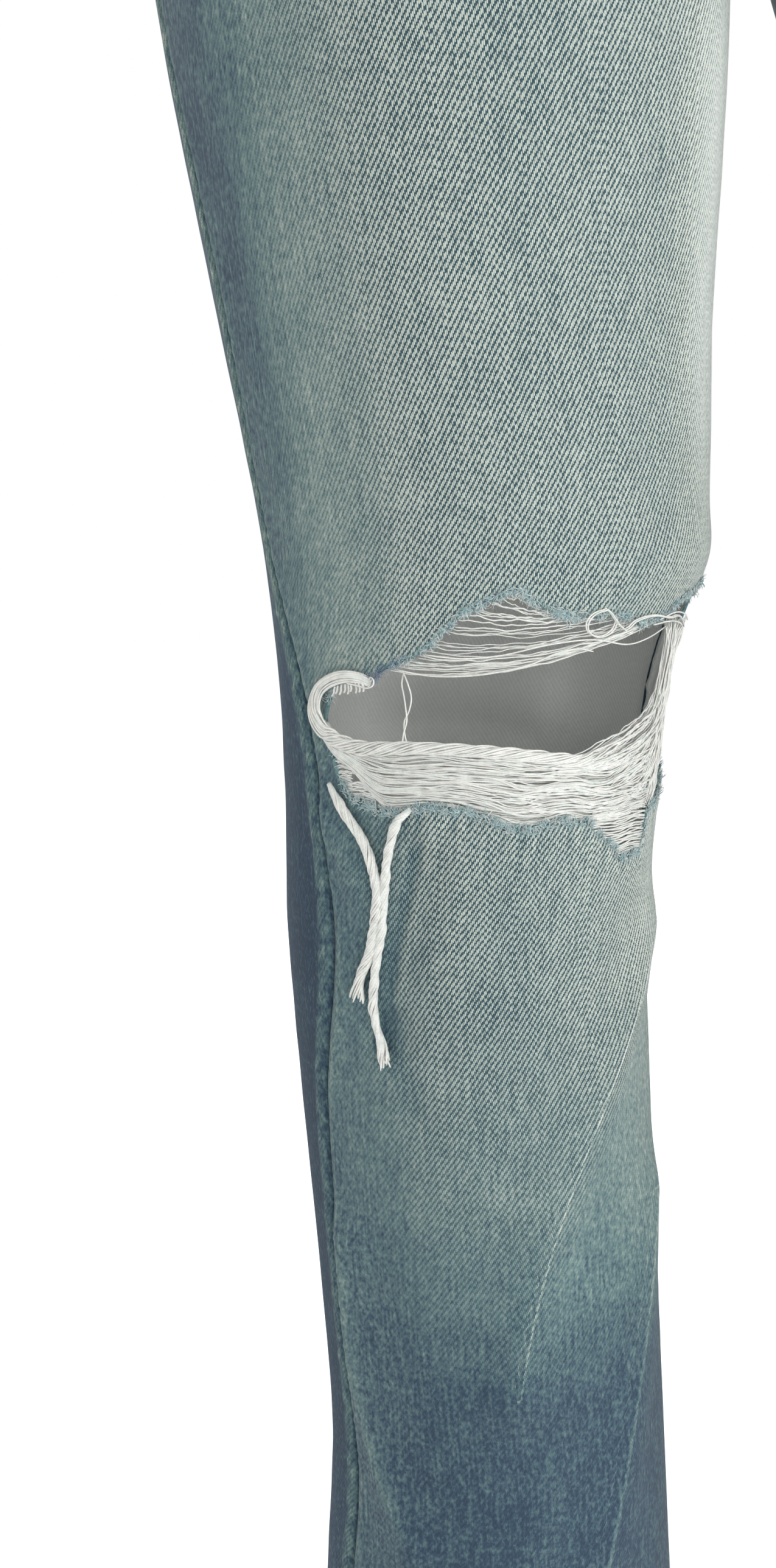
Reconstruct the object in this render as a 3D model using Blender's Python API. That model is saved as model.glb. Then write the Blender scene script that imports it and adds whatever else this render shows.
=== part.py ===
"""Ripped straight-leg jeans in their worn shape, hollow, with each cut piece as its own solid.

The wearer's front faces -Y and the wearer's right leg is at -X. The origin is the middle of the waist opening.
A height is a Z value. An angle on a leg or on the body is measured at its middle, from straight ahead towards
the outer side, so 0 is the front, 90 the outer side and 180 the back.
"""
import math

import bmesh
import bpy
import numpy as np

# Driving sizes, in metres
WALL = 0.0015  # a denim panel
GAP = 0.0003  # between two pieces at a seam
LAYER_GAP = 0.0006  # under a piece that lies on another
EDGE_DRAW = 0.02  # how far a panel's inner edge is drawn back, as a share of one column
HEM_HEIGHT = -1.020
HEM_DEPTH = 0.014
CROTCH_HEIGHT = -0.275
SEAT_HEIGHT = -0.190  # where the two legs have become one body
WAIST_SEAM = -0.040
WAIST_TOP = 0.0
SIDE_SEAM = 88.0  # angle of the side seam above the crotch
RIGHT, LEFT = -1, 1

# Steps of the faceted panels
ACROSS = 11
LEG_HEIGHTS = (-0.955, -0.905, -0.855, -0.805, -0.760, -0.725, -0.695, -0.670, -0.650, -0.630,
               -0.610, -0.590, -0.570, -0.550, -0.515, -0.470, -0.425, -0.380, -0.340, -0.305)
CROTCH_STEPS = 4
BODY_HEIGHTS = (-0.150, -0.110, -0.078)

# A row for each section of a leg: its height, its middle, its half width, its depth before and behind the
# middle, the angles of its two seams, and how far the left leg's section steps to the front
LEG_COLUMNS = ("height", "right_x", "left_x", "middle_y", "half_width", "front", "back",
               "outseam", "inseam", "left_step")
LEG_ROWS = (
    (-0.275, -0.0970, 0.097, 0.010, 0.0960, 0.102, 0.108, 88, -88, 0.000),
    (-0.340, -0.0930, 0.108, 0.006, 0.0935, 0.096, 0.099, 87, -88, 0.012),
    (-0.400, -0.0887, 0.118, 0.003, 0.0895, 0.090, 0.091, 84, -88, 0.020),
    (-0.480, -0.0829, 0.128, 0.000, 0.0804, 0.082, 0.082, 81, -88, 0.030),
    (-0.560, -0.0762, 0.137, -0.001, 0.0722, 0.073, 0.075, 81, -88, 0.038),
    (-0.600, -0.0785, 0.141, 0.000, 0.0655, 0.068, 0.070, 69, -94, 0.041),
    (-0.640, -0.0786, 0.144, 0.002, 0.0634, 0.066, 0.068, 61, -98, 0.043),
    (-0.680, -0.0793, 0.146, 0.005, 0.0622, 0.064, 0.067, 56, -100, 0.043),
    (-0.740, -0.0750, 0.150, 0.009, 0.0619, 0.063, 0.066, 66, -98, 0.041),
    (-0.820, -0.0681, 0.155, 0.013, 0.0614, 0.062, 0.065, 68, -96, 0.037),
    (-0.880, -0.0635, 0.159, 0.016, 0.0617, 0.062, 0.065, 67, -96, 0.033),
    (-0.950, -0.0618, 0.163, 0.019, 0.0655, 0.064, 0.067, 70, -94, 0.028),
    (-1.020, -0.0590, 0.167, 0.022, 0.0680, 0.067, 0.070, 72, -92, 0.022),
)

# A row for each section of the body: squareness 2 is an ellipse, and front_drop is how much lower the
# section lies at the front than at the back
BODY_COLUMNS = ("height", "middle_y", "half_width", "front", "back", "squareness", "front_drop")
BODY_ROWS = (
    (-0.190, 0.004, 0.190, 0.112, 0.134, 2.30, 0.000),
    (-0.150, 0.003, 0.187, 0.112, 0.131, 2.30, 0.002),
    (-0.110, 0.002, 0.175, 0.109, 0.119, 2.25, 0.006),
    (-0.075, 0.001, 0.158, 0.103, 0.109, 2.20, 0.011),
    (-0.040, 0.000, 0.143, 0.097, 0.102, 2.15, 0.016),
    (0.000, 0.000, 0.134, 0.092, 0.098, 2.10, 0.018),
)

# The largest folds of each leg: a ridge of soft section from one place to another. A negative rise is a trough
FOLD_COLUMNS = ("side", "angle_from", "height_from", "angle_to", "height_to", "half_width", "rise")
FOLD_ROWS = (
    (RIGHT, -24, -0.562, -78, -0.556, 0.012, 0.0025),  # the torn thigh edge stands off the knee
    (RIGHT, 26, -0.654, 36, -0.710, 0.009, -0.0030),  # trough below the rip
    (RIGHT, 58, -0.640, 46, -0.664, 0.008, 0.0018),
    (RIGHT, -66, -0.684, 4, -0.836, 0.013, 0.0034),  # long slanting ridge down the shin
    (RIGHT, -62, -0.778, -21, -0.912, 0.012, 0.0026),
    (RIGHT, 62, -0.790, 42, -0.900, 0.010, 0.0024),
    (RIGHT, 148, -0.596, 214, -0.612, 0.012, -0.0045),  # behind the knee
    (RIGHT, 132, -0.634, 206, -0.642, 0.012, -0.0048),
    (RIGHT, 150, -0.668, 222, -0.684, 0.012, -0.0036),
    (RIGHT, 120, -0.930, 196, -0.948, 0.012, -0.0030),
    (RIGHT, 20, -0.330, -60, -0.300, 0.014, -0.0030),
    (RIGHT, 120, -0.315, 208, -0.330, 0.014, -0.0040),
    (LEFT, 60, -0.612, 10, -0.628, 0.012, -0.0030),
    (LEFT, 54, -0.572, -30, -0.566, 0.014, 0.0030),
    (LEFT, -58, -0.690, 6, -0.822, 0.013, 0.0032),
    (LEFT, 60, -0.800, 38, -0.905, 0.011, 0.0026),
    (LEFT, 146, -0.588, 210, -0.604, 0.012, -0.0046),
    (LEFT, 138, -0.630, 214, -0.640, 0.012, -0.0044),
    (LEFT, 154, -0.672, 218, -0.680, 0.012, -0.0034),
    (LEFT, 124, -0.940, 204, -0.930, 0.012, -0.0030),
    (LEFT, 24, -0.335, -56, -0.302, 0.014, -0.0030),
    (LEFT, 126, -0.318, 206, -0.335, 0.014, -0.0040),
)

# The blown-out knee of the right leg: its upper and lower edge at each angle
RIP_COLUMNS = ("angle", "top", "bottom")
RIP_ROWS = (
    (-84, -0.592, -0.606),
    (-78, -0.574, -0.628),
    (-70, -0.567, -0.634),
    (-60, -0.570, -0.637),
    (-52, -0.572, -0.638),
    (-50, -0.572, -0.652),
    (-37, -0.578, -0.653),
    (-28, -0.578, -0.644),
    (-15, -0.576, -0.638),
    (-5, -0.574, -0.640),
    (3, -0.568, -0.641),
    (12, -0.572, -0.634),
    (20, -0.580, -0.633),
    (35, -0.591, -0.636),
    (48, -0.595, -0.632),
    (55, -0.601, -0.623),
    (58, -0.606, -0.612),
)

# Loose cross threads left over the rip, as plain solids of their reach
UPPER_THREADS = ((-36, -0.5790, -0.5825), (-24, -0.5783, -0.5850), (-12, -0.5765, -0.5880),
                 (-5, -0.5750, -0.5905), (3, -0.5695, -0.5920), (12, -0.5735, -0.5935),
                 (20, -0.5815, -0.5960), (33, -0.5910, -0.5945))
HANK = ((-48.1, -0.6200, -0.6345), (-28, -0.6210, -0.6380), (-15, -0.6208, -0.6370), (-3, -0.6200, -0.6390),
        (5, -0.6192, -0.6375), (12, -0.6187, -0.6332), (20, -0.6185, -0.6322), (34, -0.6185, -0.6350),
        (44, -0.6195, -0.6325), (49, -0.6205, -0.6290))
LADDER = ((-49, -0.6400, -0.6510), (-38, -0.6390, -0.6522), (-29, -0.6400, -0.6440))
# Bundled threads, as tubes. Columns: angle, height, lift of the tube's middle off the panel's outer face
ROPE = ((41, -0.5990, 0.0008), (47, -0.5962, 0.0026), (53, -0.5970, 0.0029), (58, -0.6015, 0.0029),
        (59.5, -0.6075, 0.0029), (57, -0.6130, 0.0028), (50, -0.6160, 0.0014), (42, -0.6162, 0.0),
        (30, -0.6155, 0.0), (18, -0.6155, 0.0), (6, -0.6160, 0.0), (-6, -0.6172, 0.0), (-18, -0.6182, 0.0),
        (-32, -0.6178, 0.0), (-46, -0.6172, 0.0))
SIDE_BUNDLE = ((-50, -0.5760, -0.0004), (-55, -0.5880, 0.0), (-56, -0.6040, 0.0), (-53, -0.6180, 0.0),
               (-51, -0.6330, -0.0002))
TASSEL_SHORT = ((55, -0.6280, 0.0017), (50, -0.6350, 0.0019), (46, -0.6420, 0.0019), (43.5, -0.6490, 0.0019),
                (41.4, -0.6560, 0.0019), (40.3, -0.6650, 0.0019), (40.0, -0.6750, 0.0019),
                (40.8, -0.6850, 0.0019), (42.4, -0.6920, 0.0019), (44, -0.7000, 0.0019))
TASSEL_LONG = ((31, -0.6375, 0.0018), (34.5, -0.6430, 0.0020), (36.6, -0.6500, 0.0020), (37.4, -0.6580, 0.0020),
               (37.3, -0.6660, 0.0020), (37.0, -0.6750, 0.0020), (37.6, -0.6850, 0.0020),
               (38.6, -0.6950, 0.0020), (39.4, -0.7040, 0.0020), (38.6, -0.7120, 0.0020), (37.6, -0.7200, 0.0020))


def table(names, rows):
    """Rows of numbers as one array for each named column."""
    return dict(zip(names, np.array(rows, float).T))


LEG = table(LEG_COLUMNS, LEG_ROWS)
BODY = table(BODY_COLUMNS, BODY_ROWS)
FOLDS = table(FOLD_COLUMNS, FOLD_ROWS)
RIP = table(RIP_COLUMNS, RIP_ROWS)


def smooth(sections, name, height):
    """A column read at any height, on a curve that passes through every section."""
    order = np.argsort(sections["height"])
    heights, values = sections["height"][order], sections[name][order]
    slopes = np.gradient(values, heights)
    low = np.clip(np.searchsorted(heights, height) - 1, 0, len(heights) - 2)
    span = heights[low + 1] - heights[low]
    t = np.clip((height - heights[low]) / span, 0, 1)
    return (
        (2 * t**3 - 3 * t**2 + 1) * values[low]
        + (t**3 - 2 * t**2 + t) * span * slopes[low]
        + (3 * t**2 - 2 * t**3) * values[low + 1]
        + (t**3 - t**2) * span * slopes[low + 1]
    )


def fold_relief(side, height, angle, radius):
    """How far the folds move the cloth out: each rises by its amount on its line and fades with distance."""
    relief = np.zeros(np.broadcast(height, angle).shape)
    for row in zip(*(FOLDS[name] for name in FOLD_COLUMNS)):
        fold_side, angle_from, height_from, angle_to, height_to, half_width, rise = row
        if fold_side != side:
            continue
        along = radius * math.radians(angle_to - angle_from), height_to - height_from
        turn = (angle - angle_from + 180) % 360 - 180
        place = radius * np.radians(turn), height - height_from
        share = (place[0] * along[0] + place[1] * along[1]) / (along[0] ** 2 + along[1] ** 2)
        share = np.clip(share, 0, 1)
        distance = np.hypot(place[0] - share * along[0], place[1] - share * along[1])
        relief = relief + rise * np.exp(-((distance / half_width) ** 2))
    return relief


def leg_point(side, height, angle, lift=0.0):
    """A point on a leg's outer face, on an ellipse whose front and back halves have their own depth."""
    height, angle = np.broadcast_arrays(np.asarray(height, float), np.asarray(angle, float))
    turn = np.radians(angle)
    width = smooth(LEG, "half_width", height)
    depth = np.where(np.cos(turn) > 0, smooth(LEG, "front", height), smooth(LEG, "back", height))
    lift = lift + fold_relief(side, height, angle, 0.066)
    middle_x = smooth(LEG, "right_x" if side == RIGHT else "left_x", height)
    step = smooth(LEG, "left_step", height) if side == LEFT else 0.0
    middle_y = smooth(LEG, "middle_y", height) - step
    x = middle_x + side * (width + lift) * np.sin(turn)
    y = middle_y - (depth + lift) * np.cos(turn)
    return np.stack([x, y, height], axis=-1)


def body_point(side, height, angle, lift=0.0):
    """A point on the seat and waist, on a rounded rectangle; the section tips down at the front."""
    height, angle = np.broadcast_arrays(np.asarray(height, float), np.asarray(angle, float))
    turn = np.radians(angle)
    power = 2 / smooth(BODY, "squareness", height)
    width = smooth(BODY, "half_width", height) + lift
    depth = np.where(np.cos(turn) > 0, smooth(BODY, "front", height), smooth(BODY, "back", height)) + lift
    sine, cosine = np.sin(turn), np.cos(turn)
    x = side * width * np.sign(sine) * np.abs(sine) ** power
    y = smooth(BODY, "middle_y", height) - depth * np.sign(cosine) * np.abs(cosine) ** power
    z = height - smooth(BODY, "front_drop", height) * (1 + cosine) / 2
    return np.stack([x, y, z], axis=-1)


def waist_point(round_angle, height, lift=0.0):
    """A point on the waist, by one angle that runs from the front round the wearer's right and all the way."""
    turn = np.asarray(round_angle, float) % 360
    side = np.where(turn <= 180, RIGHT, LEFT)
    angle = np.where(turn <= 180, turn, 360 - turn)
    return body_point(side, height, angle, lift)


def seam_angles(side, half, height):
    """The angles where a panel starts at the outseam and ends at the inseam, half a seam gap short of each."""
    margin = np.degrees(GAP / 2 / smooth(LEG, "half_width", height))
    outseam, inseam = smooth(LEG, "outseam", height), smooth(LEG, "inseam", height)
    if half == "front":
        return outseam - margin, inseam + margin
    return outseam + margin, inseam + 360 - margin


def leg_rows(side, half, heights):
    """Rows of points on one half of a leg, from the outseam to the inseam."""
    start, end = seam_angles(side, half, heights)
    share = np.linspace(0, 1, ACROSS + 1)
    angles = start[:, None] + share * (end - start)[:, None]
    return leg_point(side, heights[:, None], angles)


def body_rows(side, half, heights):
    """Rows of points on one quarter of the body, from the side seam to the centre seam."""
    margin = math.degrees(GAP / 2 / 0.11)
    start = SIDE_SEAM - margin if half == "front" else SIDE_SEAM + margin
    end = 0.0 if half == "front" else 180.0
    angles = np.linspace(start, end, ACROSS + 1)
    rows = body_point(side, heights, angles[None, :])
    rows[..., 0] = side * np.maximum(side * rows[..., 0], GAP / 2)
    return rows


def crotch_rows(leg_row, body_row):
    """Rows between a leg's top section and the body's lowest.

    At the side they rise in a straight line. At the centre they follow the rise seam, a quarter of an
    ellipse that leaves the crotch level and ends upright.
    """
    share = np.linspace(0, 1, ACROSS + 1) ** 2
    rows = []
    for step in range(1, CROTCH_STEPS):
        t = step / CROTCH_STEPS
        forward = t + share * (math.sin(math.pi * t / 2) - t)
        upward = t + share * (1 - math.cos(math.pi * t / 2) - t)
        weights = np.stack([forward * 0 + t, forward, upward], axis=-1)
        rows.append(leg_row + weights * (body_row - leg_row))
    return np.array(rows)


def yoke_seam():
    """Heights of the seam between a back panel and its yoke, from the side to the centre."""
    return np.linspace(-0.080, -0.104, ACROSS + 1)


def panel_points(side, half):
    """The outer face of one panel, from the hem's seam up to the waistband or the yoke."""
    lowest = HEM_HEIGHT + HEM_DEPTH + GAP
    heights = np.array((lowest,) + LEG_HEIGHTS + (CROTCH_HEIGHT,))
    leg = leg_rows(side, half, heights)
    if half == "front":
        ends = np.full(ACROSS + 1, WAIST_SEAM - GAP / 2)
    else:
        ends = yoke_seam() - GAP / 2
    levels = np.array([(h - SEAT_HEIGHT) / (WAIST_SEAM - SEAT_HEIGHT) for h in (SEAT_HEIGHT,) + BODY_HEIGHTS])
    levels = np.append(levels, 1.0)[:, None]
    body = body_rows(side, half, SEAT_HEIGHT + levels * (ends - SEAT_HEIGHT))
    return np.concatenate([leg, crotch_rows(leg[-1], body[0]), body])


def outward(points, side, half):
    """Unit normals of a grid of points, turned to face out of the garment."""
    down = np.gradient(points, axis=0)
    across = np.gradient(points, axis=1)
    normals = np.cross(across, down)
    normals /= np.linalg.norm(normals, axis=-1, keepdims=True)
    facing = -side if half == "front" else side
    return normals * facing


def moved_in(points, depth, side, half):
    """A grid moved in along its normals, its side edges drawn back a little so that two seams never cross.

    What reached the middle plane stays half a seam gap short of it.
    """
    moved = points - depth * outward(points, side, half)
    moved[:, 0] += EDGE_DRAW * (moved[:, 1] - moved[:, 0])
    moved[:, -1] += EDGE_DRAW * (moved[:, -2] - moved[:, -1])
    body = points[:, -1, 2] > CROTCH_HEIGHT + GAP
    moved[body, -1, 0] = side * GAP / 2
    moved[body, :-1, 0] = side * np.maximum(side * moved[body, :-1, 0], GAP / 2)
    return moved


def material(name, colour, roughness, metallic=0.0):
    """A plain Principled finish."""
    made = bpy.data.materials.new(name)
    made.use_nodes = True
    shader = made.node_tree.nodes["Principled BSDF"]
    shader.inputs["Base Color"].default_value = (*colour, 1.0)
    shader.inputs["Roughness"].default_value = roughness
    shader.inputs["Metallic"].default_value = metallic
    return made


def add_mesh(name, points, faces, finish):
    """A mesh object in the scene with its faces turned outwards."""
    mesh = bpy.data.meshes.new(name)
    mesh.from_pydata([tuple(map(float, point)) for point in points], [], faces)
    shape = bmesh.new()
    shape.from_mesh(mesh)
    bmesh.ops.recalc_face_normals(shape, faces=shape.faces)
    shape.to_mesh(mesh)
    shape.free()
    made = bpy.data.objects.new(name, mesh)
    made.data.materials.append(finish)
    bpy.context.scene.collection.objects.link(made)
    return made


def two_skins(name, outer, inner, finish, ring=False):
    """A closed solid between two grids of points; with ring, its last column meets its first."""
    rows, columns = outer.shape[:2]
    points = np.concatenate([outer.reshape(-1, 3), inner.reshape(-1, 3)])
    skin = rows * columns
    last = columns if ring else columns - 1
    faces = []
    for row in range(rows - 1):
        for column in range(last):
            beside = (column + 1) % columns
            a, b = row * columns + column, row * columns + beside
            c, d = a + columns, b + columns
            faces += [(a, b, d), (a, d, c)]
            faces += [(skin + a, skin + d, skin + b), (skin + a, skin + c, skin + d)]
    for row in (0, rows - 1):
        for column in range(last):
            a, b = row * columns + column, row * columns + (column + 1) % columns
            faces.append((a, b, skin + b, skin + a))
    if not ring:
        for column in (0, columns - 1):
            for row in range(rows - 1):
                a, b = row * columns + column, (row + 1) * columns + column
                faces.append((a, b, skin + b, skin + a))
    return add_mesh(name, points, faces, finish)


def band(name, side, rows, lift_in, lift_out, finish):
    """A curved slab on a leg: at each angle it reaches from one height to another, between two lifts."""
    angle, top, bottom = np.array(rows, float).T
    heights = np.stack([bottom, top])
    outer = leg_point(side, heights, angle[None, :], lift_out)
    inner = leg_point(side, heights, angle[None, :], lift_in)
    return two_skins(name, outer, inner, finish)


def tube(name, route, radius, finish):
    """A thread bundle: a round tube along a smooth curve through its route on the right leg."""
    angle, height, lift = np.array(route, float).T
    knots = np.arange(len(route), dtype=float)
    fine = np.linspace(0, len(route) - 1, 2 * len(route) - 1)
    places = {"height": knots, "angle": angle, "level": height, "lift": lift}
    read = [smooth(places, column, fine) for column in ("angle", "level", "lift")]
    points = leg_point(RIGHT, read[1], read[0], read[2])
    curve = bpy.data.curves.new(name, "CURVE")
    curve.dimensions = "3D"
    curve.bevel_depth = radius
    curve.bevel_resolution = 1
    curve.use_fill_caps = True
    spline = curve.splines.new("POLY")
    spline.points.add(len(points) - 1)
    spline.points.foreach_set("co", np.c_[points, np.ones(len(points))].ravel())
    made = bpy.data.objects.new(name, curve)
    made.data.materials.append(finish)
    bpy.context.scene.collection.objects.link(made)
    return made


def cut(solid, cutter):
    """Takes a hidden cutter out of a solid."""
    cutter.hide_render = True
    cutter.display_type = "WIRE"
    modifier = solid.modifiers.new("Cut", "BOOLEAN")
    modifier.operation = "DIFFERENCE"
    modifier.object = cutter


def pocket_cutter(side, finish):
    """What the front pocket's curved opening takes out of the front panel's outer top corner."""
    angles = np.linspace(44, SIDE_SEAM + 4, 8)
    share = (angles - angles[0]) / (angles[-1] - angles[0])
    lowest = -0.030 - 0.086 * np.sqrt(share * (2 - share))
    heights = np.stack([lowest, np.full_like(lowest, -0.025)])
    outer = body_point(side, heights, angles[None, :], 0.010)
    inner = body_point(side, heights, angles[None, :], -0.010)
    return two_skins(f"pocket_cutter_{side}", outer, inner, finish)


def make_leg(side, word, finishes):
    """One leg's panels, hem and pocket facing."""
    points = {half: panel_points(side, half) for half in ("front", "back")}
    panels = {}
    for half, finish in (("front", finishes["faded"]), ("back", finishes["blue"])):
        inner = moved_in(points[half], WALL, side, half)
        panels[half] = two_skins(f"{half}_{word}", points[half], inner, finish)
    cut(panels["front"], pocket_cutter(side, finishes["blue"]))
    around = np.linspace(0, 360, 25)[:-1]
    levels = np.array([HEM_HEIGHT, HEM_HEIGHT + HEM_DEPTH])[:, None]
    hem_outer = leg_point(side, levels, around[None, :], 0.0003)
    hem_inner = leg_point(side, levels, around[None, :], -0.0027)
    two_skins(f"hem_{word}", hem_outer, hem_inner, finishes["blue"], ring=True)
    make_facing(side, word, points["front"], finishes["blue"])
    return points, panels


def make_facing(side, word, front, finish):
    """The pocket's facing: the front panel's own corner, moved in until it lies behind the panel."""
    rows, columns = slice(-6, None), slice(0, 6)
    outer = moved_in(front, WALL + GAP, side, "front")[rows, columns]
    inner = moved_in(front, 2 * WALL + GAP, side, "front")[rows, columns]
    two_skins(f"pocket_facing_{word}", outer, inner, finish)


def make_yoke(side, word, finish):
    """The yoke above a back panel."""
    low = yoke_seam() + GAP / 2
    heights = np.linspace(0, 1, 3)[:, None] * (WAIST_SEAM - GAP / 2 - low) + low
    outer = body_rows(side, "back", heights)
    two_skins(f"yoke_{word}", outer, moved_in(outer, WALL, side, "back"), finish)


def read_grid(grid, row, column):
    """Points between the points of a grid, by straight mixing of the four around each."""
    low_row = np.clip(row.astype(int), 0, grid.shape[0] - 2)
    low_column = np.clip(column.astype(int), 0, grid.shape[1] - 2)
    r, c = (row - low_row)[..., None], (column - low_column)[..., None]
    upper = grid[low_row, low_column] * (1 - c) + grid[low_row, low_column + 1] * c
    lower = grid[low_row + 1, low_column] * (1 - c) + grid[low_row + 1, low_column + 1] * c
    return upper * (1 - r) + lower * r


def make_back_pocket(side, word, back, finish):
    """A patch pocket with a pointed lower edge, made from the back panel's points moved out."""
    last = back.shape[0] - 1
    rows = np.append(np.arange(last - 7, last), last - 0.9)
    columns = np.arange(3, 10)
    up = np.linspace(0, 1, len(rows))[:, None]
    column = np.broadcast_to(columns, (len(rows), len(columns))).astype(float)
    column[:, :1] = 3.4 - 0.25 * up
    column[:, -1:] = 8.6 + 0.25 * up
    row = np.repeat(rows[:, None], len(columns), axis=1)
    row[0] += 0.55 * np.abs(column[0] - 6.0) / 2.6 - 0.1
    normals = outward(back, side, "back")
    base, normal = read_grid(back, row, column), read_grid(normals, row, column)
    slack = LAYER_GAP + 0.0018 * (1 - up[..., None])
    outer, inner = base + (slack + WALL) * normal, base + slack * normal
    two_skins(f"back_pocket_{word}", outer, inner, finish)


def make_fly_shield(fronts, finish):
    """The shield behind the closed front opening, from both front panels' points moved in."""
    rows = slice(-5, None)
    moved = []
    for side in (RIGHT, LEFT):
        for depth in (WALL + GAP, 2 * WALL + GAP):
            moved.append(moved_in(fronts[side], depth, side, "front")[rows])
    right_outer, right_inner, left_outer, left_inner = moved
    outer = np.concatenate([right_outer[:, -3:-1], left_outer[:, -2:-1]], axis=1)
    inner = np.concatenate([right_inner[:, -3:-1], left_inner[:, -2:-1]], axis=1)
    two_skins("fly_shield", outer, inner, finish)


def make_waistband(finish):
    """One long strip round the waist. Its left end laps over its right end at the front."""
    lap = 16.0
    around = np.append(np.linspace(1.0, 345.0, 44), np.linspace(352.0, 360.0 + lap, 5))
    over = np.clip((around - 345.0) / 9.0, 0, 1)
    lift = 0.0006 + 0.0032 * over * over * (3 - 2 * over)
    levels = np.array([WAIST_SEAM + GAP / 2, (WAIST_SEAM + WAIST_TOP) / 2, WAIST_TOP])[:, None]
    outer = waist_point(around[None, :], levels, lift)
    inner = waist_point(around[None, :], levels, lift - 0.0026)
    two_skins("waistband", outer, inner, finish)


def make_loop(word, round_angle, finish):
    """A belt loop: a narrow strip that bows off the waistband between its two sewn ends."""
    up = np.linspace(0, 1, 9)[:, None]
    height = WAIST_SEAM - 0.007 + up * 0.046
    bow = 0.0012 + 0.0026 * np.sin(math.pi * up) ** 0.7
    across = round_angle + np.degrees(np.array([-0.0055, 0.0, 0.0055]) / 0.115)
    outer = waist_point(across[None, :], height, bow + 0.0016)
    two_skins(f"belt_loop_{word}", outer, waist_point(across[None, :], height, bow), finish)


def make_button(finish):
    """A domed waist button on the lap of the waistband, turned about the line straight out of the cloth."""
    radius = 0.0085
    profile = [(0.0, 0.0), (radius * 0.8, 0.0), (radius, 0.0008), (radius, 0.0020), (radius * 0.86, 0.0027),
               (radius * 0.68, 0.0022), (radius * 0.5, 0.0026), (0.0, 0.0034)]
    shape = bmesh.new()
    loop = [shape.verts.new((r, 0.0, z)) for r, z in profile]
    edges = [shape.edges.new(pair) for pair in zip(loop, loop[1:])]
    bmesh.ops.spin(shape, geom=loop + edges, axis=(0, 0, 1), cent=(0, 0, 0), steps=20, angle=math.tau)
    bmesh.ops.remove_doubles(shape, verts=shape.verts, dist=1e-6)
    bmesh.ops.recalc_face_normals(shape, faces=shape.faces)
    mesh = bpy.data.meshes.new("waist_button")
    shape.to_mesh(mesh)
    shape.free()
    mesh.shade_smooth()
    mesh.set_sharp_from_angle(angle=math.radians(40))
    made = bpy.data.objects.new("waist_button", mesh)
    made.data.materials.append(finish)
    made.location = waist_point(np.array(6.0), np.array(-0.020), 0.0038 + LAYER_GAP)
    lean = math.atan2(BODY["front"][-2] - BODY["front"][-1], WAIST_TOP - WAIST_SEAM)
    made.rotation_euler = (math.pi / 2 - lean, 0, -math.radians(3.0))
    bpy.context.scene.collection.objects.link(made)


def main():
    for old in list(bpy.data.objects):
        bpy.data.objects.remove(old, do_unlink=True)
    finishes = {
        "faded": material("faded denim", (0.42, 0.47, 0.46), 0.85),
        "blue": material("blue denim", (0.16, 0.22, 0.29), 0.85),
        "thread": material("bare cotton thread", (0.78, 0.77, 0.73), 0.9),
        "metal": material("aged button metal", (0.35, 0.33, 0.30), 0.4, 1.0),
    }
    fronts = {}
    for side, word in ((RIGHT, "right"), (LEFT, "left")):
        points, panels = make_leg(side, word, finishes)
        fronts[side] = points["front"]
        make_yoke(side, word, finishes["blue"])
        make_back_pocket(side, word, points["back"], finishes["blue"])
        if side == RIGHT:
            cut(panels["front"], band("rip_cutter", RIGHT, RIP_ROWS, -0.012, 0.012, finishes["thread"]))
    make_fly_shield(fronts, finishes["blue"])
    make_waistband(finishes["blue"])
    for word, round_angle in (("front_right", 40), ("side_right", 112), ("back", 180),
                              ("side_left", 248), ("front_left", 320)):
        make_loop(word, round_angle, finishes["blue"])
    make_button(finishes["metal"])
    band("threads_upper", RIGHT, UPPER_THREADS, -0.0012, -0.0002, finishes["thread"])
    band("threads_hank", RIGHT, HANK, -0.0016, 0.0008, finishes["thread"])
    band("threads_ladder", RIGHT, LADDER, -0.0012, -0.0002, finishes["thread"])
    tube("threads_rope", ROPE, 0.0021, finishes["thread"])
    tube("threads_side_bundle", SIDE_BUNDLE, 0.0028, finishes["thread"])
    tube("tassel_short", TASSEL_SHORT, 0.0013, finishes["thread"])
    tube("tassel_long", TASSEL_LONG, 0.0012, finishes["thread"])


main()
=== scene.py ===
# %% [markdown]
# # Ripped jeans: from plain solids to worn denim
#
# The solids are the cut pieces of one pair of straight jeans in its worn shape, each a smooth wall of cloth.
# This lesson dresses them. Every panel becomes a thin sheet on its solid's form, with creases, puckered seams
# and a woven finish that fades where a body rubs it. The blown-out knee gets its torn edges and loose yarns.

# %% Load the solids
import math

import bpy
import numpy as np
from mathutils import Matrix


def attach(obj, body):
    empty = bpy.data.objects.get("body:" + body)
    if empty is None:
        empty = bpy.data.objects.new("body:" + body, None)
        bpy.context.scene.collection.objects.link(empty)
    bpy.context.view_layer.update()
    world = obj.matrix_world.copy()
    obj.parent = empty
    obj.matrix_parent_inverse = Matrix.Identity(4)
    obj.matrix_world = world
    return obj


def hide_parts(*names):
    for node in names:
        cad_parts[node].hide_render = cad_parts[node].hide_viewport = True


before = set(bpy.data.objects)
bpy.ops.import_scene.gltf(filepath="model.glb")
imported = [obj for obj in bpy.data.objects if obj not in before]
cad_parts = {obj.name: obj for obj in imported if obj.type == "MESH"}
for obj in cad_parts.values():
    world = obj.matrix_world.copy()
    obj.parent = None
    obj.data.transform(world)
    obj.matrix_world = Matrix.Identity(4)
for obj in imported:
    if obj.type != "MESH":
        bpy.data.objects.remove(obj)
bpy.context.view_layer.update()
rng = np.random.default_rng(11)
RIGHT, LEFT = -1, 1
SIDES = ((RIGHT, "right"), (LEFT, "left"))
print("solids loaded:", len(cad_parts))

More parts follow.
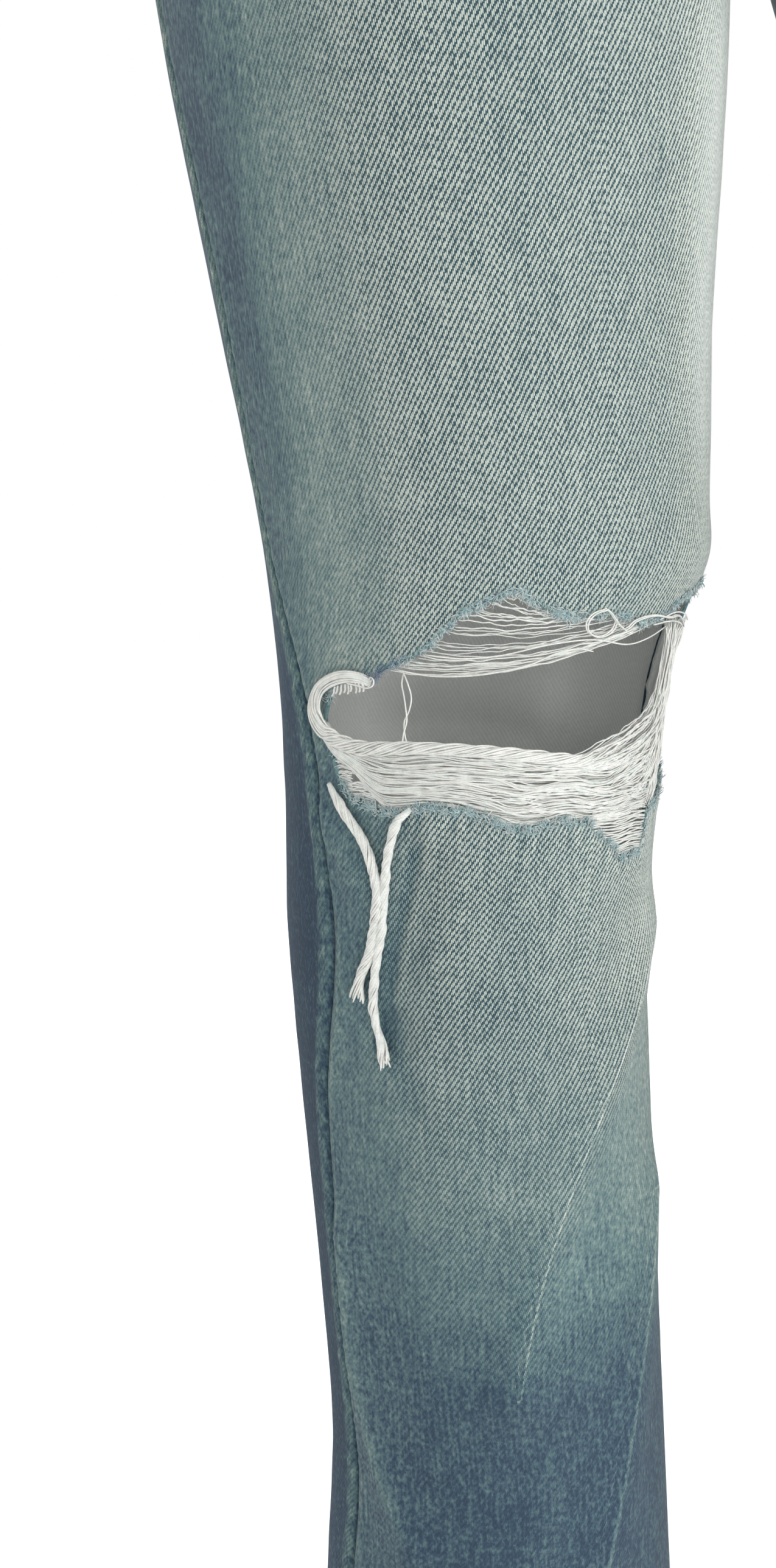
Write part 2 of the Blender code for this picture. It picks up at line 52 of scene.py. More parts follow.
# %% [markdown]
# ## The camera
#
# The picture is a close look at one knee from just outside the wearer's right leg, a little above it. The
# camera stands 0.58 m away, turned 9 degrees inwards and tipped 9 degrees down, with a plain 39 mm lens. It
# is made first, because everything that shows is judged from here.

# %% Make the camera
KNEE = np.array((-0.079, 0.0, -0.545))
CAMERA_SIDE = math.radians(12.0)
CAMERA_TURN = math.radians(9.2)
CAMERA_TILT = math.radians(9.0)
CAMERA_AWAY = 0.578


def make_camera():
    """A camera at a distance from the knee, level with its middle, looking in and down."""
    camera = bpy.data.objects.new("camera", bpy.data.cameras.new("camera"))
    camera.data.sensor_width = 36.0
    camera.data.lens = 39.27
    camera.data.clip_start = 0.01
    away = np.array((math.sin(CAMERA_SIDE), math.cos(CAMERA_SIDE), 0.0))
    camera.location = KNEE - CAMERA_AWAY * away
    camera.rotation_euler = (math.pi / 2 - CAMERA_TILT, 0.0, -CAMERA_TURN)
    bpy.context.scene.collection.objects.link(camera)
    bpy.context.scene.camera = camera
    return camera


camera = make_camera()
print("camera at", [round(value, 3) for value in camera.location])

# %% [markdown]
# ## The garment's measures
#
# A leg is a stack of sections. Each is an ellipse whose front and back halves have their own depth. Between
# two sections every measure runs on a smooth curve, so any height can be asked for. These rows are the same
# as in the solids, because a sheet has to lie exactly on the form it stands for.

# %% Sections of the legs and the body
GAP = 0.0003
HEM_HEIGHT = -1.02
HEM_DEPTH = 0.014
CROTCH_HEIGHT = -0.275
SEAT_HEIGHT = -0.19
WAIST_SEAM = -0.04
WAIST_TOP = 0.0
SIDE_SEAM = 88.0
BODY_LEVELS = (0.0, 4 / 15, 8 / 15, 11.2 / 15, 1.0)

LEG_COLUMNS = ("height", "right_x", "left_x", "middle_y", "half_width", "front", "back",
               "outseam", "inseam", "left_step")
LEG_ROWS = (
    (-0.275, -0.097, 0.097, 0.01, 0.096, 0.102, 0.108, 88, -88, 0.0),
    (-0.34, -0.093, 0.108, 0.006, 0.0935, 0.096, 0.099, 87, -88, 0.012),
    (-0.4, -0.0887, 0.118, 0.003, 0.0895, 0.09, 0.091, 84, -88, 0.02),
    (-0.48, -0.0829, 0.128, 0.0, 0.0804, 0.082, 0.082, 81, -88, 0.03),
    (-0.56, -0.0762, 0.137, -0.001, 0.0722, 0.073, 0.075, 81, -88, 0.038),
    (-0.6, -0.0785, 0.141, 0.0, 0.0655, 0.068, 0.07, 69, -94, 0.041),
    (-0.64, -0.0786, 0.144, 0.002, 0.0634, 0.066, 0.068, 61, -98, 0.043),
    (-0.68, -0.0793, 0.146, 0.005, 0.0622, 0.064, 0.067, 56, -100, 0.043),
    (-0.74, -0.075, 0.15, 0.009, 0.0619, 0.063, 0.066, 66, -98, 0.041),
    (-0.82, -0.0681, 0.155, 0.013, 0.0614, 0.062, 0.065, 68, -96, 0.037),
    (-0.88, -0.0635, 0.159, 0.016, 0.0617, 0.062, 0.065, 67, -96, 0.033),
    (-0.95, -0.0618, 0.163, 0.019, 0.0655, 0.064, 0.067, 70, -94, 0.028),
    (-1.02, -0.059, 0.167, 0.022, 0.068, 0.067, 0.07, 72, -92, 0.022),
)
BODY_COLUMNS = ("height", "middle_y", "half_width", "front", "back", "squareness", "front_drop")
BODY_ROWS = (
    (-0.19, 0.004, 0.19, 0.112, 0.134, 2.3, 0.0),
    (-0.15, 0.003, 0.187, 0.112, 0.131, 2.3, 0.002),
    (-0.11, 0.002, 0.175, 0.109, 0.119, 2.25, 0.006),
    (-0.075, 0.001, 0.158, 0.103, 0.109, 2.2, 0.011),
    (-0.04, 0.0, 0.143, 0.097, 0.102, 2.15, 0.016),
    (0.0, 0.0, 0.134, 0.092, 0.098, 2.1, 0.018),
)


def table(names, rows):
    """Rows of numbers as one array for each named column."""
    return dict(zip(names, np.array(rows, float).T))


LEG = table(LEG_COLUMNS, LEG_ROWS)
BODY = table(BODY_COLUMNS, BODY_ROWS)


def smooth(sections, name, height):
    """A column read at any height: a cubic between two sections, with slopes taken from the neighbours."""
    order = np.argsort(sections["height"])
    heights, values = sections["height"][order], sections[name][order]
    slopes = np.gradient(values, heights)
    low = np.clip(np.searchsorted(heights, height) - 1, 0, len(heights) - 2)
    span = heights[low + 1] - heights[low]
    t = np.clip((height - heights[low]) / span, 0, 1)
    return (
        (2 * t**3 - 3 * t**2 + 1) * values[low]
        + (t**3 - 2 * t**2 + t) * span * slopes[low]
        + (3 * t**2 - 2 * t**3) * values[low + 1]
        + (t**3 - t**2) * span * slopes[low + 1]
    )


print("leg sections:", len(LEG_ROWS), "body sections:", len(BODY_ROWS))

# %% [markdown]
# ## Folds
#
# Worn cloth breaks where the knee bends and where a leg leans on its seam. Each fold is a ridge or a trough
# along a line, with a bell-shaped section: it moves the cloth by its rise on the line, and by less with
# distance. The largest folds are in the solids too. The finer ones are placed one by one, as bowed lines. All
# of the relief here is made of three soft curves, so they come first.

# %% Soft curves
def bell(value, middle, width):
    """A soft bump of height 1: e to the minus square of the distance from its middle over its width."""
    return np.exp(-(((value - middle) / width) ** 2))


def soft_step(value, low, high):
    """0 below low and 1 above high, with a smooth rise between."""
    t = np.clip((value - low) / (high - low), 0, 1)
    return t * t * (3 - 2 * t)


def waves(place, period, seed):
    """An uneven wave from -1 to 1: three sines of about this period, out of step by a seed."""
    total = np.sin(2 * math.pi * place / period + seed)
    total = total + 0.6 * np.sin(2 * math.pi * place / (period * 1.37) + 2.1 * seed)
    return (total + 0.5 * np.sin(2 * math.pi * place / (period * 0.71) + 3.7 * seed)) / 2.1


print("a bell one width from its middle:", round(float(bell(1.0, 0.0, 1.0)), 2))

# %% Fold rows and the relief they make
# Side, angle and height where the line starts and where it ends, its bow, and the fold's half width and rise.
# Angles are in degrees, and lengths in millimetres.
COURSE_UNITS = (1, 1, 1000, 1, 1000, 1000)
FOLD_ROWS = (
    (RIGHT, -24, -562, -78, -556, 0, 12, 2.5),
    (RIGHT, 26, -654, 36, -710, 0, 9, -3),
    (RIGHT, 58, -640, 46, -664, 0, 8, 1.8),
    (RIGHT, -68, -682, 4, -836, -15, 13, 3.4),
    (RIGHT, -62, -778, -21, -912, 0, 12, 2.6),
    (RIGHT, 62, -790, 42, -900, -9, 10, 2.4),
    (RIGHT, 148, -596, 214, -612, 0, 12, -4.5),
    (RIGHT, 132, -634, 206, -642, 0, 12, -4.8),
    (RIGHT, 150, -668, 222, -684, 0, 12, -3.6),
    (RIGHT, 120, -930, 196, -948, 0, 12, -3),
    (RIGHT, 20, -330, -60, -300, 0, 14, -3),
    (RIGHT, 120, -315, 208, -330, 0, 14, -4),
    (LEFT, 60, -612, 10, -628, 0, 12, -3),
    (LEFT, 54, -572, -30, -566, 0, 14, 3),
    (LEFT, -58, -690, 6, -822, -12, 13, 3.2),
    (LEFT, 60, -800, 38, -905, -8, 11, 2.6),
    (LEFT, 146, -588, 210, -604, 0, 12, -4.6),
    (LEFT, 138, -630, 214, -640, 0, 12, -4.4),
    (LEFT, 154, -672, 218, -680, 0, 12, -3.4),
    (LEFT, 124, -940, 204, -930, 0, 12, -3),
    (LEFT, 24, -335, -56, -302, 0, 14, -3),
    (LEFT, 126, -318, 206, -335, 0, 14, -4),
)
FOLDS = np.array(FOLD_ROWS) / (*COURSE_UNITS, 1000, 1000)
LEG_RADIUS = 0.066  # turns an angle into a length along the cloth


def line_distance(line, height, angle):
    """How far each place on a leg lies from a fold's bowed line, with a sign for the side of the line.

    The line runs straight from one place to the other, and leaves it by its bow in the middle, on a parabola.
    """
    angle_from, height_from, angle_to, height_to, bow = line
    along = LEG_RADIUS * math.radians(angle_to - angle_from), height_to - height_from
    length = math.hypot(*along)
    turn = (angle - angle_from + 180) % 360 - 180
    place = LEG_RADIUS * np.radians(turn), height - height_from
    share = np.clip((place[0] * along[0] + place[1] * along[1]) / length**2, 0, 1)
    across = (place[0] * along[1] - place[1] * along[0]) / length
    beyond = np.hypot(place[0] - share * along[0], place[1] - share * along[1])
    sideways = across - bow * 4 * share * (1 - share)
    inside = (share > 0) & (share < 1)
    return np.where(inside, sideways, beyond)


def fold_relief(side, height, angle):
    """How far the large folds move the cloth out: each one's rise times a bell of the distance to it."""
    relief = np.zeros(np.broadcast(height, angle).shape)
    for on_side, *line, half_width, rise in FOLDS:
        if on_side == side:
            relief = relief + rise * bell(line_distance(line, height, angle), 0, half_width)
    return relief


print("large folds:", len(FOLD_ROWS))

# %% Points on a leg and on the body
def leg_point(side, height, angle, lift=0.0):
    """A point on a leg's outer face: middle + half width times sine, middle - depth times cosine."""
    height, angle = np.broadcast_arrays(np.asarray(height, float), np.asarray(angle, float))
    turn = np.radians(angle)
    width = smooth(LEG, "half_width", height)
    depth = np.where(np.cos(turn) > 0, smooth(LEG, "front", height), smooth(LEG, "back", height))
    lift = lift + fold_relief(side, height, angle)
    middle_x = smooth(LEG, "right_x" if side == RIGHT else "left_x", height)
    step = smooth(LEG, "left_step", height) if side == LEFT else 0.0
    x = middle_x + side * (width + lift) * np.sin(turn)
    y = smooth(LEG, "middle_y", height) - step - (depth + lift) * np.cos(turn)
    return np.stack([x, y, height], axis=-1)


def body_point(side, height, angle, lift=0.0):
    """A point on the seat and waist: a rounded rectangle, sine and cosine raised to 2 over its squareness."""
    height, angle = np.broadcast_arrays(np.asarray(height, float), np.asarray(angle, float))
    turn = np.radians(angle)
    power = 2 / smooth(BODY, "squareness", height)
    width = smooth(BODY, "half_width", height) + lift
    depth = np.where(np.cos(turn) > 0, smooth(BODY, "front", height), smooth(BODY, "back", height)) + lift
    sine, cosine = np.sin(turn), np.cos(turn)
    x = side * width * np.sign(sine) * np.abs(sine) ** power
    y = smooth(BODY, "middle_y", height) - depth * np.sign(cosine) * np.abs(cosine) ** power
    z = height - smooth(BODY, "front_drop", height) * (1 + cosine) / 2
    return np.stack([x, y, z], axis=-1)


def waist_point(round_angle, height, lift=0.0):
    """A point on the waist, by one angle from the front round the wearer's right and all the way."""
    turn = np.asarray(round_angle, float) % 360
    side = np.where(turn <= 180, RIGHT, LEFT)
    angle = np.where(turn <= 180, turn, 360 - turn)
    return body_point(side, height, angle, lift)


print("front of the right knee:", leg_point(RIGHT, -0.6, 0.0).round(3))

# %% [markdown]
# ## Panels as fine grids
#
# A front or a back is one piece of cloth from hem to waist. Along the leg its edges are the two seams.
# Between leg and body the inner edge follows the rise seam, a quarter of an ellipse that leaves the crotch
# level and ends upright. Each panel is a grid of points: a share across the cloth, and rows from the hem
# upwards.

# %% Where a panel's edges lie
def seam_angles(half, height):
    """The angles where a panel starts at the outseam and ends at the inseam, half a gap short of each."""
    margin = np.degrees(GAP / 2 / smooth(LEG, "half_width", height))
    outseam, inseam = smooth(LEG, "outseam", height), smooth(LEG, "inseam", height)
    if half == "front":
        return outseam - margin, inseam + margin
    return outseam + margin, inseam + 360 - margin


def body_rows(side, half, share, heights):
    """Points on one quarter of the body, from the side seam to the centre seam, never past the middle."""
    margin = math.degrees(GAP / 2 / 0.11)
    start = SIDE_SEAM - margin if half == "front" else SIDE_SEAM + margin
    end = 0.0 if half == "front" else 180.0
    angle = start + share * (end - start)
    rows = body_point(side, heights, angle)
    rows[..., 0] = side * np.maximum(side * rows[..., 0], 0.0)
    return rows, np.broadcast_to(angle, heights.shape)


def pocket_edge(angle):
    """Height of the front pocket's curved opening: a quarter ellipse from the waist down to the side seam."""
    share = np.clip((angle - 44) / (SIDE_SEAM + 4 - 44), 0, 1)
    return -0.03 - 0.086 * np.sqrt(share * (2 - share))


def panel_top(half, share, pocket=True):
    """Height of a panel's top edge at each share: the waist seam, the pocket's opening or the yoke's seam."""
    if half == "back":
        return -0.08 - 0.024 * share - GAP / 2
    top = np.full_like(share, WAIST_SEAM - GAP / 2)
    if pocket:
        top = np.minimum(top, pocket_edge(SIDE_SEAM * (1 - share)))
    return top


def body_level(level, half, share, pocket=True):
    """Heights on the body for a level of 0 at the seat and 1 at the panel's top."""
    return SEAT_HEIGHT + level * (panel_top(half, share, pocket) - SEAT_HEIGHT)


print("front pocket opens down to", round(float(pocket_edge(SIDE_SEAM)), 3))

# %% A panel's surface
CLOSING = 120  # a power so high that it moves the seam's own column alone


def rise_seam(t, share):
    """How far forward and up the crotch rows have come: straight at the side, on an ellipse at the centre."""
    inward = share**2
    forward = t + inward * (np.sin(math.pi * t / 2) - t)
    upward = t + inward * (1 - np.cos(math.pi * t / 2) - t)
    return forward, upward


def crotch_mix(t, share, leg_row, body_row):
    """Rows between a leg's top and the body's lowest, by the share of the way that each direction has come.

    The seam's own column closes on the middle plane at once, so that the two halves meet above the crotch.
    """
    aside = t + share**CLOSING * (1 - (1 - t) ** 6 - t)
    return leg_row + np.stack([aside, *rise_seam(t, share)], axis=-1) * (body_row - leg_row)


def panel_surface(side, half, share, heights, crotch_steps, body_steps):
    """A panel's outer face as a grid, with the angle and the height that each point belongs to.

    share holds 0 at the outseam to 1 at the inseam for each column; heights is a grid of leg heights.
    """
    start, end = seam_angles(half, heights)
    leg_angle = start + share * (end - start)
    leg = leg_point(side, heights, leg_angle)
    body_height = body_level(np.linspace(0, 1, body_steps)[:, None], half, share[None, :])
    body, body_angle = body_rows(side, half, share, body_height)
    t = np.linspace(0, 1, crotch_steps + 1)[1:-1, None]
    crotch_angle = leg_angle[-1] + t * (body_angle[0] - leg_angle[-1])
    crotch_height = heights[-1] + t * (SEAT_HEIGHT - heights[-1])
    return {
        "points": np.concatenate([leg, crotch_mix(t, share, leg[-1], body[0]), body]),
        "angle": np.concatenate([leg_angle, crotch_angle, body_angle]),
        "height": np.concatenate([heights, crotch_height, body_height]),
        "leg_rows": len(heights),
    }


print("crotch rows half way, at the seam:", [round(float(part), 2) for part in rise_seam(0.5, 1.0)])

# %% Normals, lengths and faces of a grid
def facing(side, half):
    """1 where a panel's columns run rightwards as seen from outside, and -1 where they run leftwards."""
    return -side if half == "front" else side


def unit(vectors):
    """Vectors scaled to a length of 1."""
    return vectors / np.maximum(np.linalg.norm(vectors, axis=-1, keepdims=True), 1e-12)


def normals_of(grid, flip):
    """Unit normals of a grid: the cross product of its two directions, times 1 or -1 to face out."""
    return unit(np.cross(np.gradient(grid, axis=1), np.gradient(grid, axis=0))) * flip


def outward(points, side, half):
    """A panel's normals, facing out of the garment."""
    return normals_of(points, facing(side, half))


def along(points, axis):
    """Length run through along one axis of a grid, from its start."""
    steps = np.linalg.norm(np.diff(points, axis=axis), axis=-1)
    first = np.zeros_like(np.take(steps, [0], axis=axis))
    return np.cumsum(np.concatenate([first, steps], axis=axis), axis=axis)


def between(grid, row, column):
    """A grid read at fractional places: the four points around each place, mixed by how near they are."""
    low_row = np.clip(np.floor(row).astype(int), 0, grid.shape[0] - 2)
    low_column = np.clip(np.floor(column).astype(int), 0, grid.shape[1] - 2)
    up, over = (row - low_row)[..., None], (column - low_column)[..., None]
    below = grid[low_row, low_column] * (1 - over) + grid[low_row, low_column + 1] * over
    above = grid[low_row + 1, low_column] * (1 - over) + grid[low_row + 1, low_column + 1] * over
    return below * (1 - up) + above * up


def area_of(points):
    """Area of a grid: the sum of its cells, each half the length of its diagonals' cross product."""
    first = points[1:, 1:] - points[:-1, :-1]
    second = points[1:, :-1] - points[:-1, 1:]
    return float(np.linalg.norm(np.cross(first, second), axis=-1).sum() / 2)


def quads(index):
    """Faces of a grid of point numbers: each joins a point, its neighbour, and the two above them."""
    return np.stack([index[:-1, :-1], index[:-1, 1:], index[1:, 1:], index[1:, :-1]], axis=-1)


def grid_faces(rows, columns, flip=1):
    """The faces of a whole grid in a row, turned over where flip is -1."""
    return quads(np.arange(rows * columns).reshape(rows, columns)).reshape(-1, 4)[:, ::flip]


print("faces of a grid of 3 by 4 points:", len(grid_faces(3, 4)))

# %% [markdown]
# ## Cloth co-ordinates
#
# A weave follows the cloth and not the room, so each panel carries its own map in metres of cloth: one number
# across the leg from its front line, and one along it. The grain leans a little with the leg. The twill lines
# of worn jeans stand steeper on the thigh than on the shin, so the map's length along the leg is stretched to
# suit.

# %% The map that the weave follows
GRAIN_RISE = 0.075
ALONG_ROWS = ((-1.02, 1.105), (-0.88, 1.11), (-0.74, 1.09), (-0.64, 1.04), (-0.54, 1.0), (-0.42, 0.955),
              (0.0, 0.95))
ACROSS_ROWS = ((-1.02, 0.93), (-0.88, 0.935), (-0.74, 0.96), (-0.64, 0.98), (-0.54, 1.06), (-0.42, 1.0),
               (0.0, 1.0))


def cloth_map(side, half, surface):
    """Two numbers for each point: length across from the leg's middle line, and length along from the hem.

    On a leg, across is the angle from that line times the mean radius. Above the leg it goes on from the
    outseam by the run along the row. Along is the sum of the stretch from the hem up to the point's height.
    """
    angle, height, legs = surface["angle"], surface["height"], surface["leg_rows"]
    centre, depth = (0.0, "front") if half == "front" else (180.0, "back")
    leg = slice(0, legs)
    radius = (smooth(LEG, "half_width", height[leg]) + smooth(LEG, depth, height[leg])) / 2
    across = side * np.radians(angle - centre)
    across[leg] *= radius
    across[legs:] = across[legs - 1, 0] + facing(side, half) * along(surface["points"][legs:], 1)
    levels = np.linspace(HEM_HEIGHT, WAIST_TOP, 400)
    stretch = np.interp(levels, *np.array(ALONG_ROWS).T)
    total = np.cumsum(stretch) * (levels[1] - levels[0])
    across = across * np.interp(height, *np.array(ACROSS_ROWS).T)
    return np.stack([across, np.interp(height, levels, total) - GRAIN_RISE * across], axis=-1)


print("grain leans by", round(math.degrees(math.atan(GRAIN_RISE)), 1), "degrees")

# %% [markdown]
# ## Where the cloth is worn pale, and where light and shade are painted
#
# Denim fades where it rubs: down the front of the thigh, round the knee, over folds and along seams. A short
# table holds how far it has faded, from 0 for raw blue to 1 for almost white, at some angles and heights of a
# leg. Past 1 it holds painted light, on the inner front of the thigh and knee where the light falls, and
# below
# 0 painted shade, on the outer side of the shin. The worn crests of folds are added to it as narrow lines,
# and the troughs stay dark; in the valley below the rip that darkness is painted fold shadow.

# %% Fade tables
# Each row holds a height in millimetres, and the fade in hundredths at each of the angles.
FRONT_ANGLES = (90, 74, 66, 58, 50, 40, 30, 15, 0, -30, -60, -90)
# Fades above 100, at -60 and -90 degrees in the rows from -680 to -420, are painted light on the inner front
# of the thigh and knee.
FRONT_FADE_AND_PAINTED_LIGHT = (
    (-1020, 20, 20, 18, 16, 14, 14, 14, 14, 14, 14, 16, 20),
    (-990, 12, 12, 10, 6, 4, 4, 4, 4, 4, 4, 6, 10),
    (-880, 10, 15, 18, 18, 12, 3, 2, 2, 2, 2, 3, 5),
    (-840, 10, 20, 20, 18, 12, 9, 7, 6, 8, 8, 6, 6),
    (-820, 10, 14, 12, 18, 19, 19, 24, 29, 34, 25, 22, 16),
    (-800, 10, 16, 12, 20, 26, 30, 40, 43, 43, 40, 50, 44),
    (-760, 10, 18, 26, 32, 37, 44, 57, 58, 60, 58, 72, 68),
    (-720, 5, 14, 30, 42, 44, 52, 66, 65, 64, 72, 82, 80),
    (-680, 2, 5, 14, 20, 28, 42, 62, 72, 66, 82, 105, 110),
    (-640, 2, 4, 8, 20, 34, 48, 64, 76, 72, 86, 110, 120),
    (-600, 20, 35, 42, 66, 76, 72, 80, 76, 76, 86, 114, 130),
    (-560, 25, 36, 46, 62, 72, 68, 82, 78, 78, 79, 110, 140),
    (-480, 25, 24, 30, 53, 66, 70, 78, 80, 77, 79, 132, 140),
    (-420, 24, 14, 20, 40, 58, 66, 76, 80, 73, 80, 136, 140),
    (-330, 20, 20, 20, 28, 42, 56, 66, 74, 72, 80, 90, 80),
    (-250, 20, 20, 20, 25, 34, 46, 56, 64, 60, 55, 45, 40),
    (-150, 22, 22, 24, 30, 36, 42, 46, 44, 36, 36, 36, 36),
    (-40, 25, 25, 28, 30, 32, 34, 34, 34, 34, 34, 34, 34),
)
BACK_ANGLES = (60, 96, 120, 150, 180, 210, 240, 272)
# Fades below 0, at 60 and 96 degrees in the rows from -850 to -640, are painted shade on the outer side of
# the shin.
BACK_FADE_AND_PAINTED_SHADE = (
    (-1020, 16, 18, 22, 34, 42, 34, 22, 20),
    (-990, 4, 4, 10, 20, 26, 20, 10, 8),
    (-850, -14, -10, 6, 14, 16, 14, 8, 6),
    (-740, -16, -12, 8, 20, 22, 20, 12, 8),
    (-640, -12, -10, 8, 22, 26, 22, 14, 12),
    (-560, 4, 6, 14, 26, 30, 28, 20, 20),
    (-420, 6, 10, 24, 38, 44, 42, 34, 34),
    (-280, 14, 18, 34, 54, 62, 58, 46, 40),
    (-180, 18, 20, 40, 58, 56, 50, 50, 50),
    (-40, 20, 22, 28, 34, 34, 34, 34, 34),
)

print("fade rows:", len(FRONT_FADE_AND_PAINTED_LIGHT), "in front and", len(BACK_FADE_AND_PAINTED_SHADE), "behind")

# %% Crest lines
# A crest or a dark crease: its side, angle and height where it starts and where it ends, its bow, its half
# width, what it lifts the cloth by, and what it adds to the fade.
CREST_ROWS = (
    (RIGHT, -68, -682, 4, -836, -15, 0.4, 0.4, 0.3),
    (RIGHT, -62, -777, -22, -908, -2, 0.9, 0.5, 0.42),
    (RIGHT, -22, -908, -16, -960, 0, 2.2, 0.4, 0.22),
    (RIGHT, 62, -791, 44, -895, -9, 3.4, 0.6, 0.26),
    # the valley right of the long tassel: its fade of -0.17 is painted fold shadow
    (RIGHT, 27.5, -648, 39.5, -714, 0.4, 2.6, -1.4, -0.17),
    (RIGHT, 23, -638, 35, -700, 0.4, 2.6, 0.6, 0.15),
    (RIGHT, 58, -642, 47, -659, 0, 3, 0.6, 0.16),
    (RIGHT, 36, -706, 30, -735, 0, 5, -0.6, -0.12),
    (RIGHT, 70, -470, 66, -530, 2, 7, -0.4, -0.05),
    (RIGHT, 73, -430, 70, -475, 2, 7, -0.4, -0.12),
    (RIGHT, -6, -866, 2, -905, 2, 5, 0.4, 0.08),
    (RIGHT, 78, -292, 28, -322, 5, 4, 1, 0.22),
    (RIGHT, 70, -262, 10, -300, 6, 4, 1.2, 0.26),
    (RIGHT, 60, -236, -20, -284, 6, 4.2, 1.2, 0.24),
    (RIGHT, 150, -590, 205, -602, 4, 3, 1.4, 0.3),
    (RIGHT, 140, -622, 214, -628, -3, 3, 1.6, 0.34),
    (RIGHT, 146, -652, 206, -664, 4, 3, 1.4, 0.3),
    (RIGHT, 160, -700, 214, -690, 3, 3.6, 1, 0.2),
    (RIGHT, 128, -956, 190, -972, 3, 3.6, 1, 0.2),
    (LEFT, -60, -690, 6, -822, -12, 2.8, 0.6, 0.2),
    (LEFT, 60, -800, 38, -905, -8, 2.6, 0.6, 0.26),
    (LEFT, 46, -585, -34, -592, 4, 3, 0.8, 0.12),
    (LEFT, 56, -642, 12, -652, -3, 2.6, 0.8, 0.14),
    (LEFT, 76, -296, 30, -326, 5, 4, 1, 0.22),
    (LEFT, 68, -266, 12, -304, 6, 4, 1.2, 0.26),
    (LEFT, 58, -240, -18, -286, 6, 4.2, 1.2, 0.24),
    (LEFT, 146, -580, 202, -590, 4, 3, 1.4, 0.3),
    (LEFT, 142, -612, 210, -618, -3, 3, 1.6, 0.34),
    (LEFT, 150, -646, 208, -656, 4, 3, 1.4, 0.3),
    (LEFT, 130, -960, 196, -946, 3, 3.6, 1, 0.2),
)
CRESTS = np.array(CREST_ROWS) / (*COURSE_UNITS, 1000, 1000, 1)
print("crest lines:", len(CRESTS))

# %% Fade and crests at any place
def read_table(angles, rows, height, angle):
    """A fade table read at any place: four entries around it, mixed by soft steps of their nearness."""
    order = np.argsort(angles)
    columns, heights = np.array(angles, float)[order], np.array(rows)[:, 0] / 1000
    values = np.array(rows)[:, 1:][:, order] / 100
    row = np.clip(np.searchsorted(heights, height) - 1, 0, len(heights) - 2)
    column = np.clip(np.searchsorted(columns, angle) - 1, 0, len(columns) - 2)
    up = np.clip((height - heights[row]) / (heights[row + 1] - heights[row]), 0, 1)
    over = np.clip((angle - columns[column]) / (columns[column + 1] - columns[column]), 0, 1)
    up, over = up * up * (3 - 2 * up), over * over * (3 - 2 * over)
    low = values[row, column] * (1 - over) + values[row, column + 1] * over
    high = values[row + 1, column] * (1 - over) + values[row + 1, column + 1] * over
    return low * (1 - up) + high * up


CRISP = 0.001  # a crest narrower than this is too fine for the grid, so its line is drawn by the finish
LINE_REACH = 6.0  # how many half widths of a crisp line its channel covers
FINEST_RELIEF = 0.0016  # the narrowest crest that the grid can lift


def crest_relief(side, height, angle):
    """What the fine crests lift the cloth by, what they add to its fade, and where the crisp lines run.

    The last is 0.5 on a crisp line, and moves from it by the distance over the half width and the reach.
    """
    lift, wear, line = np.zeros(height.shape), np.zeros(height.shape), np.ones(height.shape)
    for on_side, *course, half_width, rise, fade in CRESTS:
        if on_side != side:
            continue
        distance = line_distance(course, height, angle)
        lift += rise * bell(distance, 0, max(half_width, FINEST_RELIEF))
        if half_width < CRISP:
            signed = np.clip(distance / (half_width * LINE_REACH), -1, 1)
            line = np.where(np.abs(signed) < np.abs(line), signed, line)
        else:
            # a negative fade darkens a trough; in the valley below the rip this is painted fold shadow
            wear += fade * bell(distance, 0, half_width)
    return lift, wear, 0.5 + 0.5 * line


print("fade on the right knee:", round(float(read_table(FRONT_ANGLES, FRONT_FADE_AND_PAINTED_LIGHT, -0.56, 0.0)), 2))

# %% [markdown]
# ## From a grid to a sheet of cloth
#
# Each piece is a grid of points turned into faces with numpy, in one step. It carries two things for its
# finish: the cloth map, and a colour attribute named tone. Tone's red is the fade, its green how sharp the
# weave shows, its blue how warm the shade is, and its alpha where a crisp crest runs. A Solidify modifier
# then gives the sheet its thickness, inwards.

# %% Mesh helpers
SHEET_THICKNESS = 0.0012
# For each sheet, by its solid's name: the piece, its flat area, and its finished outer face. The last is a
# grid of points with 1 or -1 for the way that it faces.
sheets, areas, grids = {}, {}, {}


def make_mesh(name, points, faces, finishes, uv=None, tone=None):
    """A smooth mesh object from points and quads. uv and tone hold one row for each point."""
    points = points.reshape(-1, 3)
    mesh = bpy.data.meshes.new(name)
    mesh.vertices.add(len(points))
    mesh.vertices.foreach_set("co", points.astype(np.float32).ravel())
    mesh.loops.add(faces.size)
    mesh.loops.foreach_set("vertex_index", faces.astype(np.int32).ravel())
    mesh.polygons.add(len(faces))
    mesh.polygons.foreach_set("loop_start", np.arange(0, faces.size, faces.shape[1], dtype=np.int32))
    mesh.update(calc_edges=True)
    if uv is not None:
        layer = mesh.uv_layers.new(name="cloth")
        layer.data.foreach_set("uv", uv.reshape(-1, 2)[faces.ravel()].astype(np.float32).ravel())
    if tone is not None:
        tone = tone.reshape(-1, tone.shape[-1])
        colours = tone if tone.shape[1] == 4 else np.concatenate([tone, np.ones((len(tone), 1))], axis=1)
        attribute = mesh.color_attributes.new("tone", "FLOAT_COLOR", "POINT")
        attribute.data.foreach_set("color", colours.astype(np.float32).ravel())
    mesh.shade_smooth()
    for finish in finishes:
        mesh.materials.append(finish)
    made = bpy.data.objects.new(name, mesh)
    bpy.context.scene.collection.objects.link(made)
    return made


def thicken(piece, thickness=SHEET_THICKNESS):
    """Gives a sheet its thickness on its inner side, which takes the piece's second finish."""
    wall = piece.modifiers.new("Wall", "SOLIDIFY")
    wall.thickness = thickness
    wall.offset = -1
    wall.material_offset = 1
    return piece


def place(piece, slot, *nodes):
    """Says what a piece stands for: it rides on the body and replaces its solids. The slot is not used."""
    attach(piece, "root")
    if nodes:
        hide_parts(*nodes)
    return piece


print("a sheet is", SHEET_THICKNESS * 1000, "mm thick")
